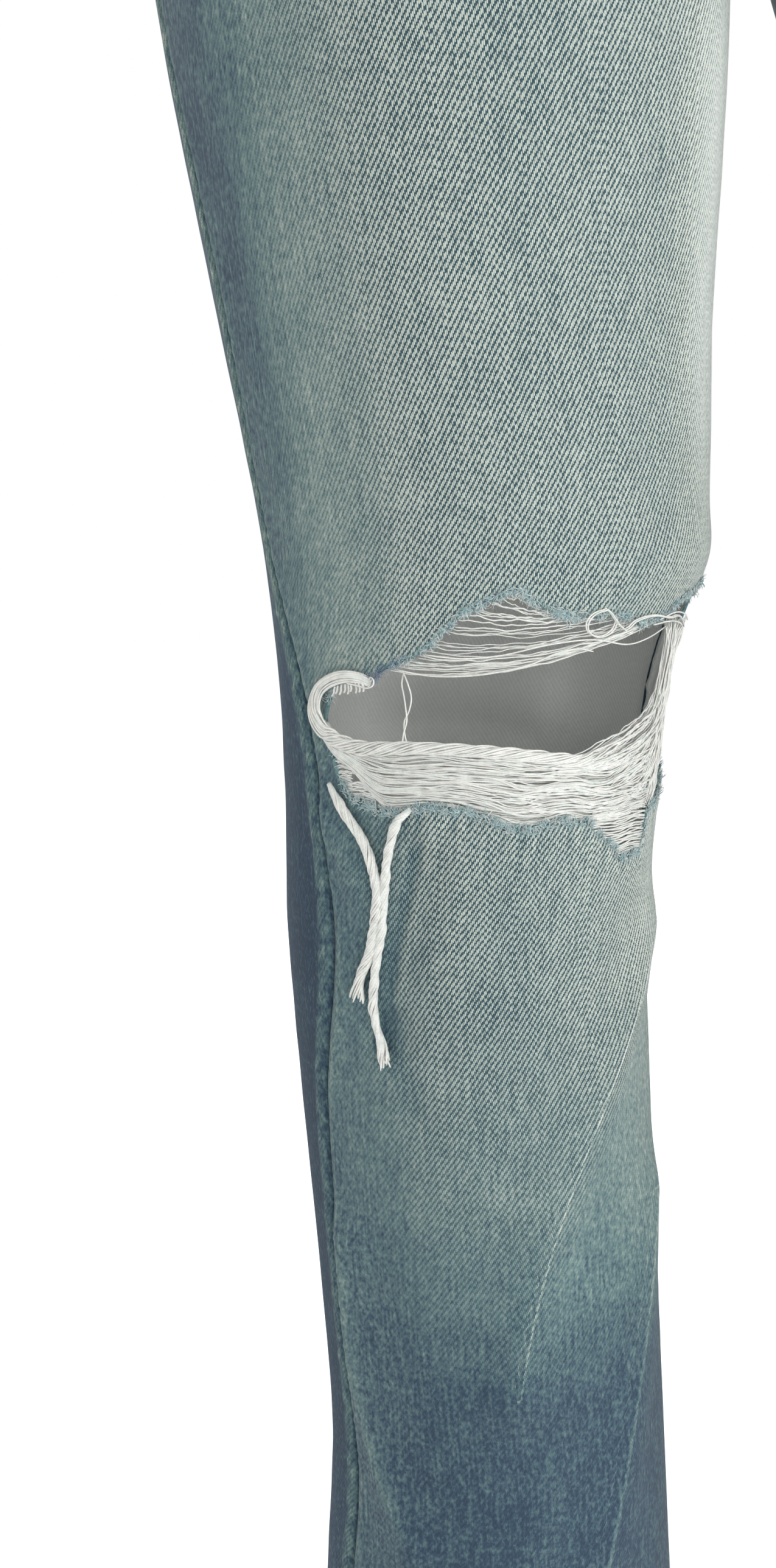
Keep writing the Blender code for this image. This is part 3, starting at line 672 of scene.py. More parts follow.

# %% [markdown]
# ## Denim as a node group
#
# Denim is a 3/1 twill: each blue warp yarn floats over three white weft yarns, one step higher than its
# neighbour, so the floats line up in steep diagonals. Wear scrapes the blue off the crown of each float and
# leaves it in the gaps, which are darkened further as painted shade in the grooves between floats. The group
# draws one oval crown a float, in cloth co-ordinates, and its Fade input decides how much of it has gone
# white.

# %% Screen colours
def srgb(red, green, blue):
    """A colour written as screen values from 0 to 255, as the linear values that a shader takes."""
    value = np.array((red, green, blue)) / 255
    linear = np.where(value <= 0.04045, value / 12.92, ((value + 0.055) / 1.055) ** 2.4)
    return (*(float(part) for part in linear), 1.0)


print("linear value of mid grey:", round(srgb(128, 128, 128)[0], 3))

# %% A helper that builds node trees
class Graph:
    """Adds nodes to one tree, and links or sets their inputs as it goes.

    Most calls add one node and give back its output. add, less and times are sums of two values, step is a
    smooth step between two ends, step_straight a straight one, and stretched is a vector times two numbers.
    """

    def __init__(self, tree):
        self.tree = tree

    def feed(self, socket, value):
        if isinstance(value, bpy.types.NodeSocket):
            self.tree.links.new(value, socket)
        elif value is not None:
            socket.default_value = value

    def node(self, kind, inputs=(), **settings):
        made = self.tree.nodes.new(kind)
        for name, value in settings.items():
            setattr(made, name, value)
        for socket, value in dict(inputs).items():
            self.feed(made.inputs[socket], value)
        return made

    def maths(self, operation, *values, clamp=False):
        made = self.node("ShaderNodeMath", operation=operation, use_clamp=clamp)
        for socket, value in zip(made.inputs, values):
            self.feed(socket, value)
        return made.outputs[0]

    def add(self, first, second):
        return self.maths("ADD", first, second)

    def less(self, first, second, clamp=False):
        return self.maths("SUBTRACT", first, second, clamp=clamp)

    def times(self, first, second, clamp=False):
        return self.maths("MULTIPLY", first, second, clamp=clamp)

    def swing(self, value, size):
        """A value from 0 to 1 as a move either way: (value - 0.5) * size."""
        return self.times(self.less(value, 0.5), size)

    def mix(self, share, first, second, blend="MIX"):
        made = self.node("ShaderNodeMix", data_type="RGBA", blend_type=blend)
        for socket, value in ((0, share), (6, first), (7, second)):
            self.feed(made.inputs[socket], value)
        return made.outputs[2]

    def noise(self, vector, scale, detail=2.0, roughness=0.5):
        inputs = {"Vector": vector, "Scale": scale, "Detail": detail, "Roughness": roughness}
        return self.node("ShaderNodeTexNoise", inputs).outputs["Fac"]

    def step(self, value, low, high, start=0.0, end=1.0):
        inputs = {"Value": value, "From Min": low, "From Max": high, "To Min": start, "To Max": end}
        return self.node("ShaderNodeMapRange", inputs, interpolation_type="SMOOTHSTEP").outputs["Result"]

    def ramp(self, value, shades):
        """A colour read from rows of (value, colour), mixed evenly between two rows."""
        first, last = shades[0][0], shades[-1][0]
        made = self.node("ShaderNodeValToRGB", {"Fac": self.step_straight(value, first, last)})
        stops = made.color_ramp.elements
        stops[0].color, stops[1].color = shades[0][1], shades[-1][1]
        for at, colour in shades[1:-1]:
            stops.new((at - first) / (last - first)).color = colour
        return made.outputs["Color"]

    def step_straight(self, value, low, high):
        inputs = {"Value": value, "From Min": low, "From Max": high, "To Min": 0.0, "To Max": 1.0}
        return self.node("ShaderNodeMapRange", inputs).outputs["Result"]

    def stretched(self, vector, across, along):
        inputs = {0: vector, 1: (across, along, 1.0)}
        return self.node("ShaderNodeVectorMath", inputs, operation="MULTIPLY").outputs[0]

    def cloth(self):
        return self.node("ShaderNodeUVMap", uv_map="cloth").outputs["UV"]

    def tone(self):
        """The tone attribute's outputs, and its red, green and blue."""
        outputs = self.node("ShaderNodeAttribute", attribute_name="tone").outputs
        return outputs, self.node("ShaderNodeSeparateColor", {0: outputs["Color"]}).outputs

    def bump(self, shader, height, distance, strength):
        """Roughens a shader by a height of this many metres."""
        inputs = {"Height": height, "Distance": distance, "Strength": strength}
        self.feed(shader["Normal"], self.node("ShaderNodeBump", inputs).outputs["Normal"])


def new_group(name, inputs, outputs):
    """An empty node group with named sockets, and its graph, input node and output node."""
    tree = bpy.data.node_groups.new(name, "ShaderNodeTree")
    kinds = {"vector": "NodeSocketVector", "number": "NodeSocketFloat", "colour": "NodeSocketColor"}
    for label, kind in inputs:
        tree.interface.new_socket(name=label, in_out="INPUT", socket_type=kinds[kind])
    for label, kind in outputs:
        tree.interface.new_socket(name=label, in_out="OUTPUT", socket_type=kinds[kind])
    graph = Graph(tree)
    return graph, graph.node("NodeGroupInput").outputs, graph.node("NodeGroupOutput").inputs


print("a graph adds nodes by", ", ".join(name for name in vars(Graph) if name[0] != "_"))

# %% The twill's measures and shades
YARN = 0.00044  # metres from one warp yarn to the next
TWILL_REPEAT = 0.0026  # metres along a yarn from one float to the next
STEPS_IN_REPEAT = 4
FLOAT_LEAN = 0.55  # how far a float slants over its own length, in yarns
LEVEL = 0.71  # how high on a crown the blue still holds where nothing has worn it
# The shades at -0.2 are painted shade, and those at 1.4 painted light: they lie past the 0 to 1 of wear.
CROWN_SHADES = ((-0.2, srgb(48, 72, 92)), (0.0, srgb(64, 94, 113)), (0.4, srgb(112, 138, 141)),
                (0.7, srgb(179, 189, 180)), (1.0, srgb(210, 215, 206)), (1.4, srgb(238, 240, 235)))
# The ground's shades are the unworn blue between crowns, darkened further as painted shade in the grooves.
GROUND_BLUE_AND_GROOVE_SHADE = ((-0.2, srgb(28, 44, 60)), (0.0, srgb(34, 54, 74)), (0.4, srgb(32, 58, 72)),
                 (1.0, srgb(43, 72, 78)), (1.4, srgb(140, 160, 160)))
MEAN_SHADES = ((-0.2, srgb(40, 60, 78)), (0.0, srgb(53, 76, 94)), (0.5, srgb(99, 126, 126)),
               (0.8, srgb(130, 150, 145)), (1.0, srgb(152, 165, 159)), (1.4, srgb(214, 218, 213)))
LEAST_FADE_WITH_PAINTED_SHADE, MOST_FADE_WITH_PAINTED_LIGHT = -0.2, 1.4
WARM_CAST, COOL_CAST = (1.05, 1.02, 0.84, 1.0), (0.84, 1.0, 1.1, 1.0)
print("a float's repeat is", round(TWILL_REPEAT / YARN, 1), "yarns long")

# %% The twill group
def make_twill():
    """Colour and height of worn twill.

    The yarn's number is the whole part of across / yarn. A float's phase is the fraction of
    along / repeat - number / 4. Its crown is a parabola across the yarn times a soft step along it, and the
    cloth is white where crown + noise passes a level that falls as the fade rises.
    """
    inputs = (("Cloth", "vector"), ("Fade", "number"), ("Sharpness", "number"), ("Warmth", "number"))
    graph, given, result = new_group("twill", inputs, (("Colour", "colour"), ("Height", "number")))
    cloth = graph.node("ShaderNodeSeparateXYZ", {0: given["Cloth"]}).outputs
    slub = graph.noise(graph.stretched(given["Cloth"], 900.0, 60.0), 1.0, 2.0)
    fluff = graph.noise(graph.stretched(given["Cloth"], 3000.0, 1400.0), 1.0, 3.0, 0.6)
    grain = graph.noise(graph.stretched(given["Cloth"], 720.0, 400.0), 1.0, 3.0, 0.65)
    cloud = graph.noise(given["Cloth"], 55.0, 3.0, 0.55)
    sway = graph.swing(graph.noise(given["Cloth"], 160.0, 1.0), 1.3)
    number = graph.add(graph.maths("DIVIDE", cloth["X"], YARN), sway)
    yarn = graph.maths("FLOOR", number)
    beside = graph.less(graph.maths("FRACT", number), 0.5)
    in_repeats = graph.maths("DIVIDE", cloth["Y"], TWILL_REPEAT)
    turn = graph.less(in_repeats, graph.maths("DIVIDE", yarn, float(STEPS_IN_REPEAT)))
    jitter = graph.node("ShaderNodeTexWhiteNoise", {"W": yarn}, noise_dimensions="1D").outputs["Value"]
    turn = graph.add(turn, graph.times(jitter, 0.16))
    turn = graph.add(turn, graph.times(sway, 0.3))
    phase = graph.less(graph.maths("FRACT", turn), 0.5)
    leaning = graph.add(beside, graph.times(phase, FLOAT_LEAN))
    across = graph.less(1.0, graph.times(graph.maths("POWER", leaning, 2.0), 2.1), clamp=True)
    along_float = graph.step(graph.maths("ABSOLUTE", phase), 0.1, 0.48, 1.0, 0.0)
    crown = graph.times(across, along_float)
    place = graph.node("ShaderNodeCombineXYZ", {"X": yarn, "Y": graph.maths("FLOOR", turn)}).outputs[0]
    chance = graph.node("ShaderNodeTexWhiteNoise", {"Vector": place}, noise_dimensions="2D").outputs["Value"]
    streak = graph.swing(slub, 0.95)
    patch = graph.swing(cloud, 0.42)
    fade = graph.add(given["Fade"], graph.add(streak, patch))
    unlike = graph.swing(chance, 0.36)
    rough = graph.swing(fluff, 0.7)
    raised = graph.add(crown, graph.add(unlike, rough))
    level = graph.less(LEVEL, graph.times(fade, 0.46))
    worn = graph.step(raised, level, graph.add(level, 0.32))
    mottled = graph.add(fade, graph.swing(grain, 2.2))
    # the ground is the unworn blue with painted shade of the grooves between floats
    ground, crowns = graph.ramp(given["Fade"], GROUND_BLUE_AND_GROOVE_SHADE), graph.ramp(given["Fade"], CROWN_SHADES)
    pattern = graph.mix(worn, ground, crowns)
    plain = graph.mix(given["Sharpness"], graph.ramp(mottled, MEAN_SHADES), pattern)
    coolness = graph.times(given["Warmth"], -1.0, clamp=True)
    warmth = graph.times(given["Warmth"], 1.0, clamp=True)
    warmed = graph.mix(warmth, plain, graph.mix(1.0, plain, WARM_CAST, "MULTIPLY"))
    cooled = graph.mix(1.0, plain, COOL_CAST, "MULTIPLY")
    graph.feed(result["Colour"], graph.mix(coolness, warmed, cooled))
    graph.feed(result["Height"], graph.add(crown, graph.times(fluff, 0.35)))
    return graph.tree


TWILL = make_twill()
print("twill nodes:", len(TWILL.nodes))

# %% [markdown]
# ## Denim, inside and out
#
# The face of the cloth reads its fade from the piece. Its reverse shows mostly the white weft, so it is a
# pale blue grey with the same twill, mirrored and weaker, mixed almost to white as painted light for the
# inside of the leg, which lies in shade. A little sheen stands for the fibres that stand up.

# %% Denim materials
def new_material(name, roughness, sheen=0.0):
    """A material with a Principled shader whose constant values are set on its own sockets."""
    made = bpy.data.materials.new(name)
    made.use_nodes = True
    graph = Graph(made.node_tree)
    shader = made.node_tree.nodes["Principled BSDF"]
    shader.inputs["Roughness"].default_value = roughness
    shader.inputs["Sheen Weight"].default_value = sheen
    shader.inputs["Sheen Roughness"].default_value = 0.6
    shader.inputs["Specular IOR Level"].default_value = 0.25
    return made, graph, shader.inputs


CRISP_WEAR = 0.34  # what a crisp crest adds to the fade on its line


def twill_group(graph, fade, sharpness, warmth):
    """The twill on the cloth's own map, as a group node's outputs."""
    inputs = {"Cloth": graph.cloth(), "Fade": fade, "Sharpness": sharpness, "Warmth": warmth}
    return graph.node("ShaderNodeGroup", inputs, node_tree=TWILL).outputs


def denim(name, sheen=0.12):
    """The face of the cloth: tone's fade drives the twill, with more of it where a crisp crest runs."""
    made, graph, shader = new_material(name, 0.88, sheen)
    attribute, tone = graph.tone()
    off_line = graph.maths("ABSOLUTE", graph.less(attribute["Alpha"], 0.5))
    worn_line = graph.step(graph.times(off_line, 2 * LINE_REACH), 0.3, 1.5, CRISP_WEAR, 0.0)
    twill = twill_group(graph, graph.add(tone["Red"], worn_line), tone["Green"], tone["Blue"])
    graph.feed(shader["Base Color"], twill["Colour"])
    graph.bump(shader, twill["Height"], 0.00025, 0.7)
    return made


def reverse_denim():
    """The reverse: pale weft with the same twill shown weakly, mixed near white as painted light."""
    made, graph, shader = new_material("denim reverse with painted light", 0.92, 0.1)
    twill = twill_group(graph, 0.95, 0.8, 0.0)
    # the mix towards near white is partly the pale weft and partly painted light for the inside of the leg
    graph.feed(shader["Base Color"], graph.mix(0.8, twill["Colour"], srgb(246, 247, 244)))
    graph.bump(shader, twill["Height"], 0.0002, 0.6)
    return made


FADED = denim("faded denim")
BLUE = denim("blue denim", sheen=0.05)
HEM = denim("hem denim")
REVERSE_WITH_PAINTED_LIGHT = reverse_denim()
print("denim finishes:", ", ".join(made.name for made in (FADED, BLUE, HEM, REVERSE_WITH_PAINTED_LIGHT)))

# %% [markdown]
# ## Relief and tone of a panel
#
# A seam pulls the cloth down into a ditch, and the folded edges under it make a low ridge beside it. Washing
# shrinks the thread more than the cloth, so the ridge puckers into slanting ropes that wear pale on top. Each
# panel gets its crests, seams and a slight unevenness as movements along its own normals.

# %% Dress a panel
DITCH_WIDTH, DITCH_DEPTH = 0.0014, 0.001
RIDGE_AWAY, RIDGE_WIDTH, RIDGE_RISE = 0.0045, 0.0026, 0.0006
ROPE_PERIOD, ROPE_RISE = 0.0058, 0.0004
UNEVENNESS = 0.00022


def seam_relief(distance, place, seed):
    """A ditch on the seam, a ridge beside it, and roping on the ridge that leans away from the seam."""
    rope = waves(place + 0.7 * distance, ROPE_PERIOD, seed) * bell(distance, RIDGE_AWAY, 0.0042)
    ditch = DITCH_DEPTH * bell(distance, 0, DITCH_WIDTH)
    ridge = RIDGE_RISE * bell(distance, RIDGE_AWAY, RIDGE_WIDTH)
    return ridge - ditch + ROPE_RISE * rope, rope


def dress(side, half, surface, seed):
    """A panel's points moved out by its relief, and its tone: fade, sharpness, warmth and crisp lines.

    The fade holds painted light and painted shade as well as wear.
    """
    points, angle, height = surface["points"], surface["angle"], surface["height"]
    run, climb = along(points, 1), along(points, 0)
    rest, below_top = run[:, -1:] - run, climb[-1] - climb
    angles, rows = (FRONT_ANGLES, FRONT_FADE_AND_PAINTED_LIGHT) if half == "front" else (BACK_ANGLES, BACK_FADE_AND_PAINTED_SHADE)
    fade = read_table(angles, rows, height, angle)
    lift, wear, line = crest_relief(side, height, angle)
    fade = fade + wear
    outer_lift, outer_rope = seam_relief(run, height, seed)
    inner_lift, inner_rope = seam_relief(rest, height, seed + 1.3)
    top_lift, top_rope = seam_relief(below_top, run, seed + 2.6)
    lift = lift + outer_lift + inner_lift + 0.6 * top_lift
    slow, steep = waves(height + 0.0004 * angle, 0.034, seed), waves(angle - 400 * height, 37.0, seed + 2)
    lift = lift + UNEVENNESS * slow * steep
    fade = fade + 0.15 * outer_rope + 0.16 * inner_rope + 0.16 * top_rope
    fade = fade - 0.16 * bell(run, 0, 0.001) - 0.15 * bell(rest, 0, 0.001) + 0.16 * bell(run, 0.0032, 0.0016)
    warmth = 0.1 * bell(run, 0, 0.006) + 0.15 * bell(rest, 0, 0.008)
    if half == "back":
        strip = 1 - soft_step(run, 0.0056, 0.0068)
        fade = fade + strip * (0.33 + 0.32 * outer_rope) + 0.16 * bell(run, 0.0062, 0.0006)
        warmth = warmth + 0.15 * strip
    near_seam = np.maximum(bell(run, 0, 0.009), bell(rest, 0, 0.007))
    sharpness = (0.95 - 0.35 * near_seam) * (1 - 0.35 * soft_step(0.35 - fade, 0.0, 0.3))
    if half == "front":
        turned_away = np.maximum(soft_step(angle, 22, 58), 0.8 * soft_step(-angle, 52, 74))
        past_crest = soft_step(line_distance(CRESTS[0][1:6], height, angle), 0.0, 0.012)
        past_crest = 0.7 * past_crest * soft_step(-height, 0.684, 0.7) * (1 - soft_step(-height, 0.79, 0.83))
        sharpness = sharpness * (1 - 0.68 * turned_away) * (1 - past_crest * (side == RIGHT))
        sharpness = sharpness * (1 - 0.45 * soft_step(-height, 0.69, 0.8))
    sharpness = sharpness * (1 - 0.35 * (half == "back"))
    moved = points + outward(points, side, half) * lift[..., None]
    # the fade keeps painted shade down to -0.2 and painted light up to 1.4
    return moved, np.stack([np.clip(fade, LEAST_FADE_WITH_PAINTED_SHADE, MOST_FADE_WITH_PAINTED_LIGHT), sharpness, warmth, line], axis=-1)


print("seam ditch", DITCH_DEPTH * 1000, "mm deep")

# %% [markdown]
# ## The torn front
#
# The knee is one slit across the right front, pulled wide open. So this panel's grid is cut along one row.
# The rows above it are pushed up to the torn upper edge and the rows below it down to the lower one, by less
# and less with distance. Beyond both ends of the slit the two edges are the same points, so the cloth stays
# whole.

# %% The rip's edges and the grid around it
SLIT = -0.604
SLIT_REACH = 0.09
PLACE_UNITS = (1, 1000, 1000)  # an angle is in degrees, and the two lengths after it are in millimetres
RIP_COLUMNS = ("angle", "top", "bottom")
RIP_ROWS = (
    (-98, -604, -604), (-88, -603, -604), (-84, -596, -605), (-78, -574, -628), (-70, -567, -634),
    (-61, -569, -637), (-52, -572, -639), (-50, -573, -652), (-43, -577, -653), (-37, -578.5, -653),
    (-34, -579, -648), (-28, -577, -644), (-22, -575.5, -639), (-15, -576, -638), (-10, -576, -638.5),
    (-5, -574, -640), (0, -571, -640), (3, -568, -639.5), (8, -570, -636.2), (12, -572, -634.5),
    (17, -575, -634), (23, -583, -633), (28, -588, -634), (35, -591, -636), (40, -595, -635),
    (48, -594.5, -632), (50, -595.5, -630.5), (54, -600, -624), (56, -603, -616), (58, -609, -609.5),
    (62, -606, -606), (70, -604, -604), (95, -604, -604),
)
RIP = table(RIP_COLUMNS, np.array(RIP_ROWS) / PLACE_UNITS)
RIP_ENDS = (-86.0, 58.0)
FRAY = 0.0005
FRAY_BAND = 0.0024
INDIGO_PATCH = (38.0, 5.0, 0.9)  # its middle and half width in degrees, and the fade it keeps back


def rip_edge(edge, angle):
    """Height of the torn upper or lower edge at an angle, a little ragged where the slit is open."""
    height = np.interp(angle, RIP["angle"], RIP[edge])
    open_share = np.clip((np.interp(angle, RIP["angle"], RIP["top"])
                          - np.interp(angle, RIP["angle"], RIP["bottom"])) / 0.01, 0, 1)
    place = LEG_RADIUS * np.radians(angle)
    ragged = FRAY * (waves(place, 0.0061, 1.0 if edge == "top" else 4.0) + 0.7 * waves(place, 0.0023, 2.0))
    return height + open_share * ragged


def torn_heights(share, rows, edge):
    """Heights of grid rows near the slit, moved to the torn edge on the slit and left alone away from it."""
    height = np.broadcast_to(rows[:, None], (len(rows), len(share)))
    near = 1 - soft_step(np.abs(rows - SLIT)[:, None], 0.0, SLIT_REACH)
    for _ in range(6):
        start, end = seam_angles("front", height)
        angle = start + share * (end - start)
        height = rows[:, None] + (rip_edge(edge, angle) - SLIT) * near
    return height


print("the slit opens", round(1000 * float(rip_edge("top", 0.0) - rip_edge("bottom", 0.0))), "mm at the knee")

# %% The torn panel
def torn_front(columns, seed):
    """The right front's surface and tone, the numbers of its points, and the row where its upper part starts.

    The two parts are dressed apart, because a normal taken across the open slit would mean nothing. Past the
    slit's ends the upper part's first row has the lower part's numbers, which welds them.
    """
    share = np.linspace(0, 1, columns)
    foot = np.linspace(HEM_HEIGHT + HEM_DEPTH + GAP, -0.925, 24)[:-1]
    low = np.concatenate([foot, np.linspace(-0.925, SLIT, 158)])
    high = np.concatenate([np.linspace(SLIT, -0.43, 84), np.linspace(-0.43, CROTCH_HEIGHT, 27)[1:]])
    cut = len(low)
    heights = np.concatenate([torn_heights(share, low, "bottom"), torn_heights(share, high, "top")])
    surface = panel_surface(RIGHT, "front", share, heights, crotch_steps=20, body_steps=30)
    uv = cloth_map(RIGHT, "front", surface)
    parts = []
    for part in (slice(0, cut), slice(cut, None)):
        piece = {name: surface[name][part] for name in ("points", "angle", "height")}
        moved, tone = dress(RIGHT, "front", piece, seed)
        parts.append((moved, frayed_tone(piece, tone, "bottom" if part.start == 0 else "top")))
    points = np.concatenate([parts[0][0], parts[1][0]])
    tone = np.concatenate([parts[0][1], parts[1][1]])
    index = np.arange(points.shape[0] * columns).reshape(-1, columns)
    angle = surface["angle"][cut]
    whole = (angle > RIP_ENDS[1]) | (angle < RIP_ENDS[0])
    index[cut, whole] = index[cut - 1, whole]
    return points, uv, tone, index, cut


def frayed_tone(piece, tone, edge):
    """Within a few millimetres of the torn edge the weave is lost in teal fluff, with one indigo patch."""
    angle, height = piece["angle"], piece["height"]
    away = np.abs(height - rip_edge(edge, angle))
    inside = (angle > RIP_ENDS[0]) & (angle < RIP_ENDS[1])
    band = FRAY_BAND * (1 + 0.3 * waves(LEG_RADIUS * np.radians(angle), 0.0042, 5.0))
    frayed = inside * (1 - soft_step(away, 0.35 * band, band))
    indigo = INDIGO_PATCH[2] * bell(angle, *INDIGO_PATCH[:2]) * (edge == "top")
    mottled = 0.1 * waves(LEG_RADIUS * np.radians(angle) + 0.6 * height, 0.0013, 7.0)
    tone = tone.copy()
    tone[..., 0] += frayed * (0.62 - 0.5 * indigo + 2.0 * mottled - tone[..., 0])
    tone[..., 1] *= 1 - 0.8 * frayed
    tone[..., 2] += frayed * (-0.8 - tone[..., 2])
    return tone


def make_torn_front():
    """The mesh of the right front: faces between all rows except the two that meet in the slit."""
    columns = 136
    points, uv, tone, index, cut = torn_front(columns, 1.0)
    grids["front_right"] = points[cut:], facing(RIGHT, "front")
    faces = quads(index)
    faces = np.concatenate([faces[: cut - 1], faces[cut:]]).reshape(-1, 4)
    used, faces = np.unique(faces, return_inverse=True)
    faces = faces.reshape(-1, 4)[:, :: facing(RIGHT, "front")]
    flat = [grid.reshape(-1, grid.shape[-1])[used] for grid in (points, uv, tone)]
    areas["front_right"] = area_of(points[:cut]) + area_of(points[cut:])
    return thicken(make_mesh("front_right_cloth", flat[0], faces, (FADED, REVERSE_WITH_PAINTED_LIGHT), *flat[1:]))


sheets["front_right"] = make_torn_front()
print("right front:", len(sheets["front_right"].data.polygons), "faces, area", round(areas["front_right"], 3))

# %% [markdown]
# ## The other panels
#
# The left front and both backs are whole, so one function makes them all. The left front carries the fly, and
# the seat's panels end at the yoke.

# %% Whole panels
def keep_sheet(name, points, moved, flip, finish, uv, tone, thickness=SHEET_THICKNESS):
    """A sheet from a grid of points that its relief has moved. Its area is that of the first grid."""
    faces = grid_faces(*points.shape[:2], flip)
    grids[name], areas[name] = (moved, flip), area_of(points)
    sheets[name] = thicken(make_mesh(f"{name}_cloth", moved, faces, (finish, REVERSE_WITH_PAINTED_LIGHT), uv, tone), thickness)


def make_panel(name, side, half, columns, leg_rows, finish, seed):
    """A whole front or back: its surface, dressed."""
    share = np.linspace(0, 1, columns)
    rows = np.linspace(HEM_HEIGHT + HEM_DEPTH + GAP, CROTCH_HEIGHT, leg_rows)
    heights = np.broadcast_to(rows[:, None], (leg_rows, columns))
    surface = panel_surface(side, half, share, heights, crotch_steps=22, body_steps=32)
    points, tone = dress(side, half, surface, seed)
    keep_sheet(name, points, points, facing(side, half), finish, cloth_map(side, half, surface), tone)


make_panel("front_left", LEFT, "front", 66, 136, FADED, 5.0)
make_panel("back_right", RIGHT, "back", 84, 180, BLUE, 7.0)
make_panel("back_left", LEFT, "back", 66, 136, BLUE, 9.0)
print("panel areas:", {name: round(area, 3) for name, area in areas.items()})

# %% [markdown]
# ## Yokes, patch pockets, facings and the fly shield
#
# These lie on or behind the large panels, so their points are read from the same surfaces and moved out or in
# along the normals. A patch pocket lies on the seat, a little slack at its foot. The facing shows in the
# front pocket's opening, and the shield closes the fly from behind.

# %% Pieces that follow a panel
CROTCH_ROW, BODY_ROW, CROTCH_PARTS = 21, 25, 4


def panel_at(side, half, row, share):
    """Points of a panel above its leg, by row: 21 at the leg's top, 25 at the seat, 29 at the panel's top.

    It is the whole panel, with no pocket cut from its corner.
    """
    start, end = seam_angles(half, np.array(CROTCH_HEIGHT))
    leg = leg_point(side, CROTCH_HEIGHT, start + share * (end - start))
    level = np.interp(row - BODY_ROW, np.arange(len(BODY_LEVELS)), BODY_LEVELS)
    height = body_level(level, half, share, pocket=False)
    body, _ = body_rows(side, half, share, height)
    seat, _ = body_rows(side, half, share, np.full_like(height, SEAT_HEIGHT))
    t = np.clip((row - CROTCH_ROW) / CROTCH_PARTS, 0, 1)
    crotch = leg + np.stack([t, *rise_seam(t, share)], axis=-1) * (seat - leg)
    return np.where((row >= BODY_ROW)[..., None], body, crotch)


def edge_distance(points, sides):
    """The runs across and up a grid, and how far each point lies from the nearest of the named edges.

    The edges are l, r, t and b: left, right, top and bottom.
    """
    run, climb = along(points, 1), along(points, 0)
    away = {"l": run, "r": run[:, -1:] - run, "b": climb, "t": climb[-1] - climb}
    return run, climb, np.min([away[letter] for letter in sides], axis=0)


def small_sheet(name, points, flip, fade, seed, sides="lrtb", thickness=SHEET_THICKNESS):
    """A small piece of cloth: turned edges that rise a little and wear pale in ropes, on an even ground."""
    run, climb, away = edge_distance(points, sides)
    rope = waves(run + climb, ROPE_PERIOD, seed) * bell(away, 0.0035, 0.0035)
    lift = 0.0003 * bell(away, 0.004, 0.0035) + 0.0003 * rope - 0.0004 * bell(away, 0, 0.0009)
    edge_fade = 0.3 * bell(away, 0.0006, 0.0016) + 0.18 * rope
    warmth = 0.2 * bell(away, 0, 0.006)
    tone = np.stack([np.clip(fade + edge_fade, 0, 1.1), np.full_like(away, 0.75), warmth], -1)
    moved = points + lift[..., None] * normals_of(points, flip)
    keep_sheet(name, points, moved, flip, BLUE, np.stack([run, climb], -1), tone, thickness)


print("leg's top at the centre:", panel_at(RIGHT, "front", np.array(21.0), np.array(1.0)).round(3))

# %% Yokes, pockets, facings and shield
def yoke_points(side):
    """The yoke's outer face, from its slanting seam up to the waist seam."""
    share = np.linspace(0, 1, 70)
    low = -0.08 - 0.024 * share + GAP / 2
    level = np.linspace(0, 1, 26)[:, None]
    return body_rows(side, "back", share, low + level * (WAIST_SEAM - GAP / 2 - low))[0]


POCKET_TOP, POCKET_FOOT, POCKET_INNER = 0.128, 0.11, 0.05  # widths at top and foot, and from the centre seam
TABLE_STEP = 0.002


def share_across(side, row, away):
    """The share across the back panel at a distance from its centre seam, read from a table of its rows."""
    levels, shares = np.linspace(21.5, 28.5, 90), np.linspace(0, 1, 120)
    levels_grid, shares_grid = np.meshgrid(levels, shares, indexing="ij")
    run = along(panel_at(side, "back", levels_grid, shares_grid), 1)
    rest = run[:, -1:] - run
    steps = np.arange(0, 0.24, TABLE_STEP)
    found = np.array([np.interp(steps, one[::-1], shares[::-1]) for one in rest])
    return between(found[..., None], (row - 21.5) / 7.0 * 89, away / TABLE_STEP)[..., 0]


def pocket_points(side):
    """A patch pocket with straight sides and a pointed foot, which stands off the seat most at its foot."""
    up = np.linspace(0, 1, 48)[:, None]
    over = np.linspace(0, 1, 42)[None, :]
    width = POCKET_FOOT + (POCKET_TOP - POCKET_FOOT) * up
    away = POCKET_INNER + (POCKET_TOP - width) / 2 + (1 - over) * width
    row = 22.0 + (1.1 * np.abs(over - 0.5) - 0.1) * (1 - up) + up * (28.1 - 22.0)
    points = panel_at(side, "back", row, share_across(side, row, away))
    slack = 0.0023 + 0.0018 * (1 - up) * (1 - 0.3 * bell(over, 0.5, 0.3))
    return points + slack[..., None] * outward(points, side, "back")


def facing_points(side):
    """The pocket facing: the front panel's own corner, moved in behind it."""
    row = np.linspace(24, 29, 36)[:, None] + np.zeros((1, 32))
    share = np.linspace(0, 0.54, 32)[None, :] + np.zeros((36, 1))
    points = panel_at(side, "front", row, share)
    return points - 0.0019 * outward(points, side, "front")


def shield_points():
    """The fly shield, behind both fronts: from the right front across the middle to the left front."""
    row = np.linspace(25, 29, 50)[:, None]
    parts = []
    for side, shares in ((RIGHT, np.linspace(9 / 11, 0.999, 10)), (LEFT, np.linspace(10 / 11, 0.999, 6))):
        points = panel_at(side, "front", row + 0 * shares, shares + 0 * row)
        parts.append(points - 0.002 * outward(points, side, "front"))
    return np.concatenate([parts[0], parts[1][:, ::-1]], axis=1)


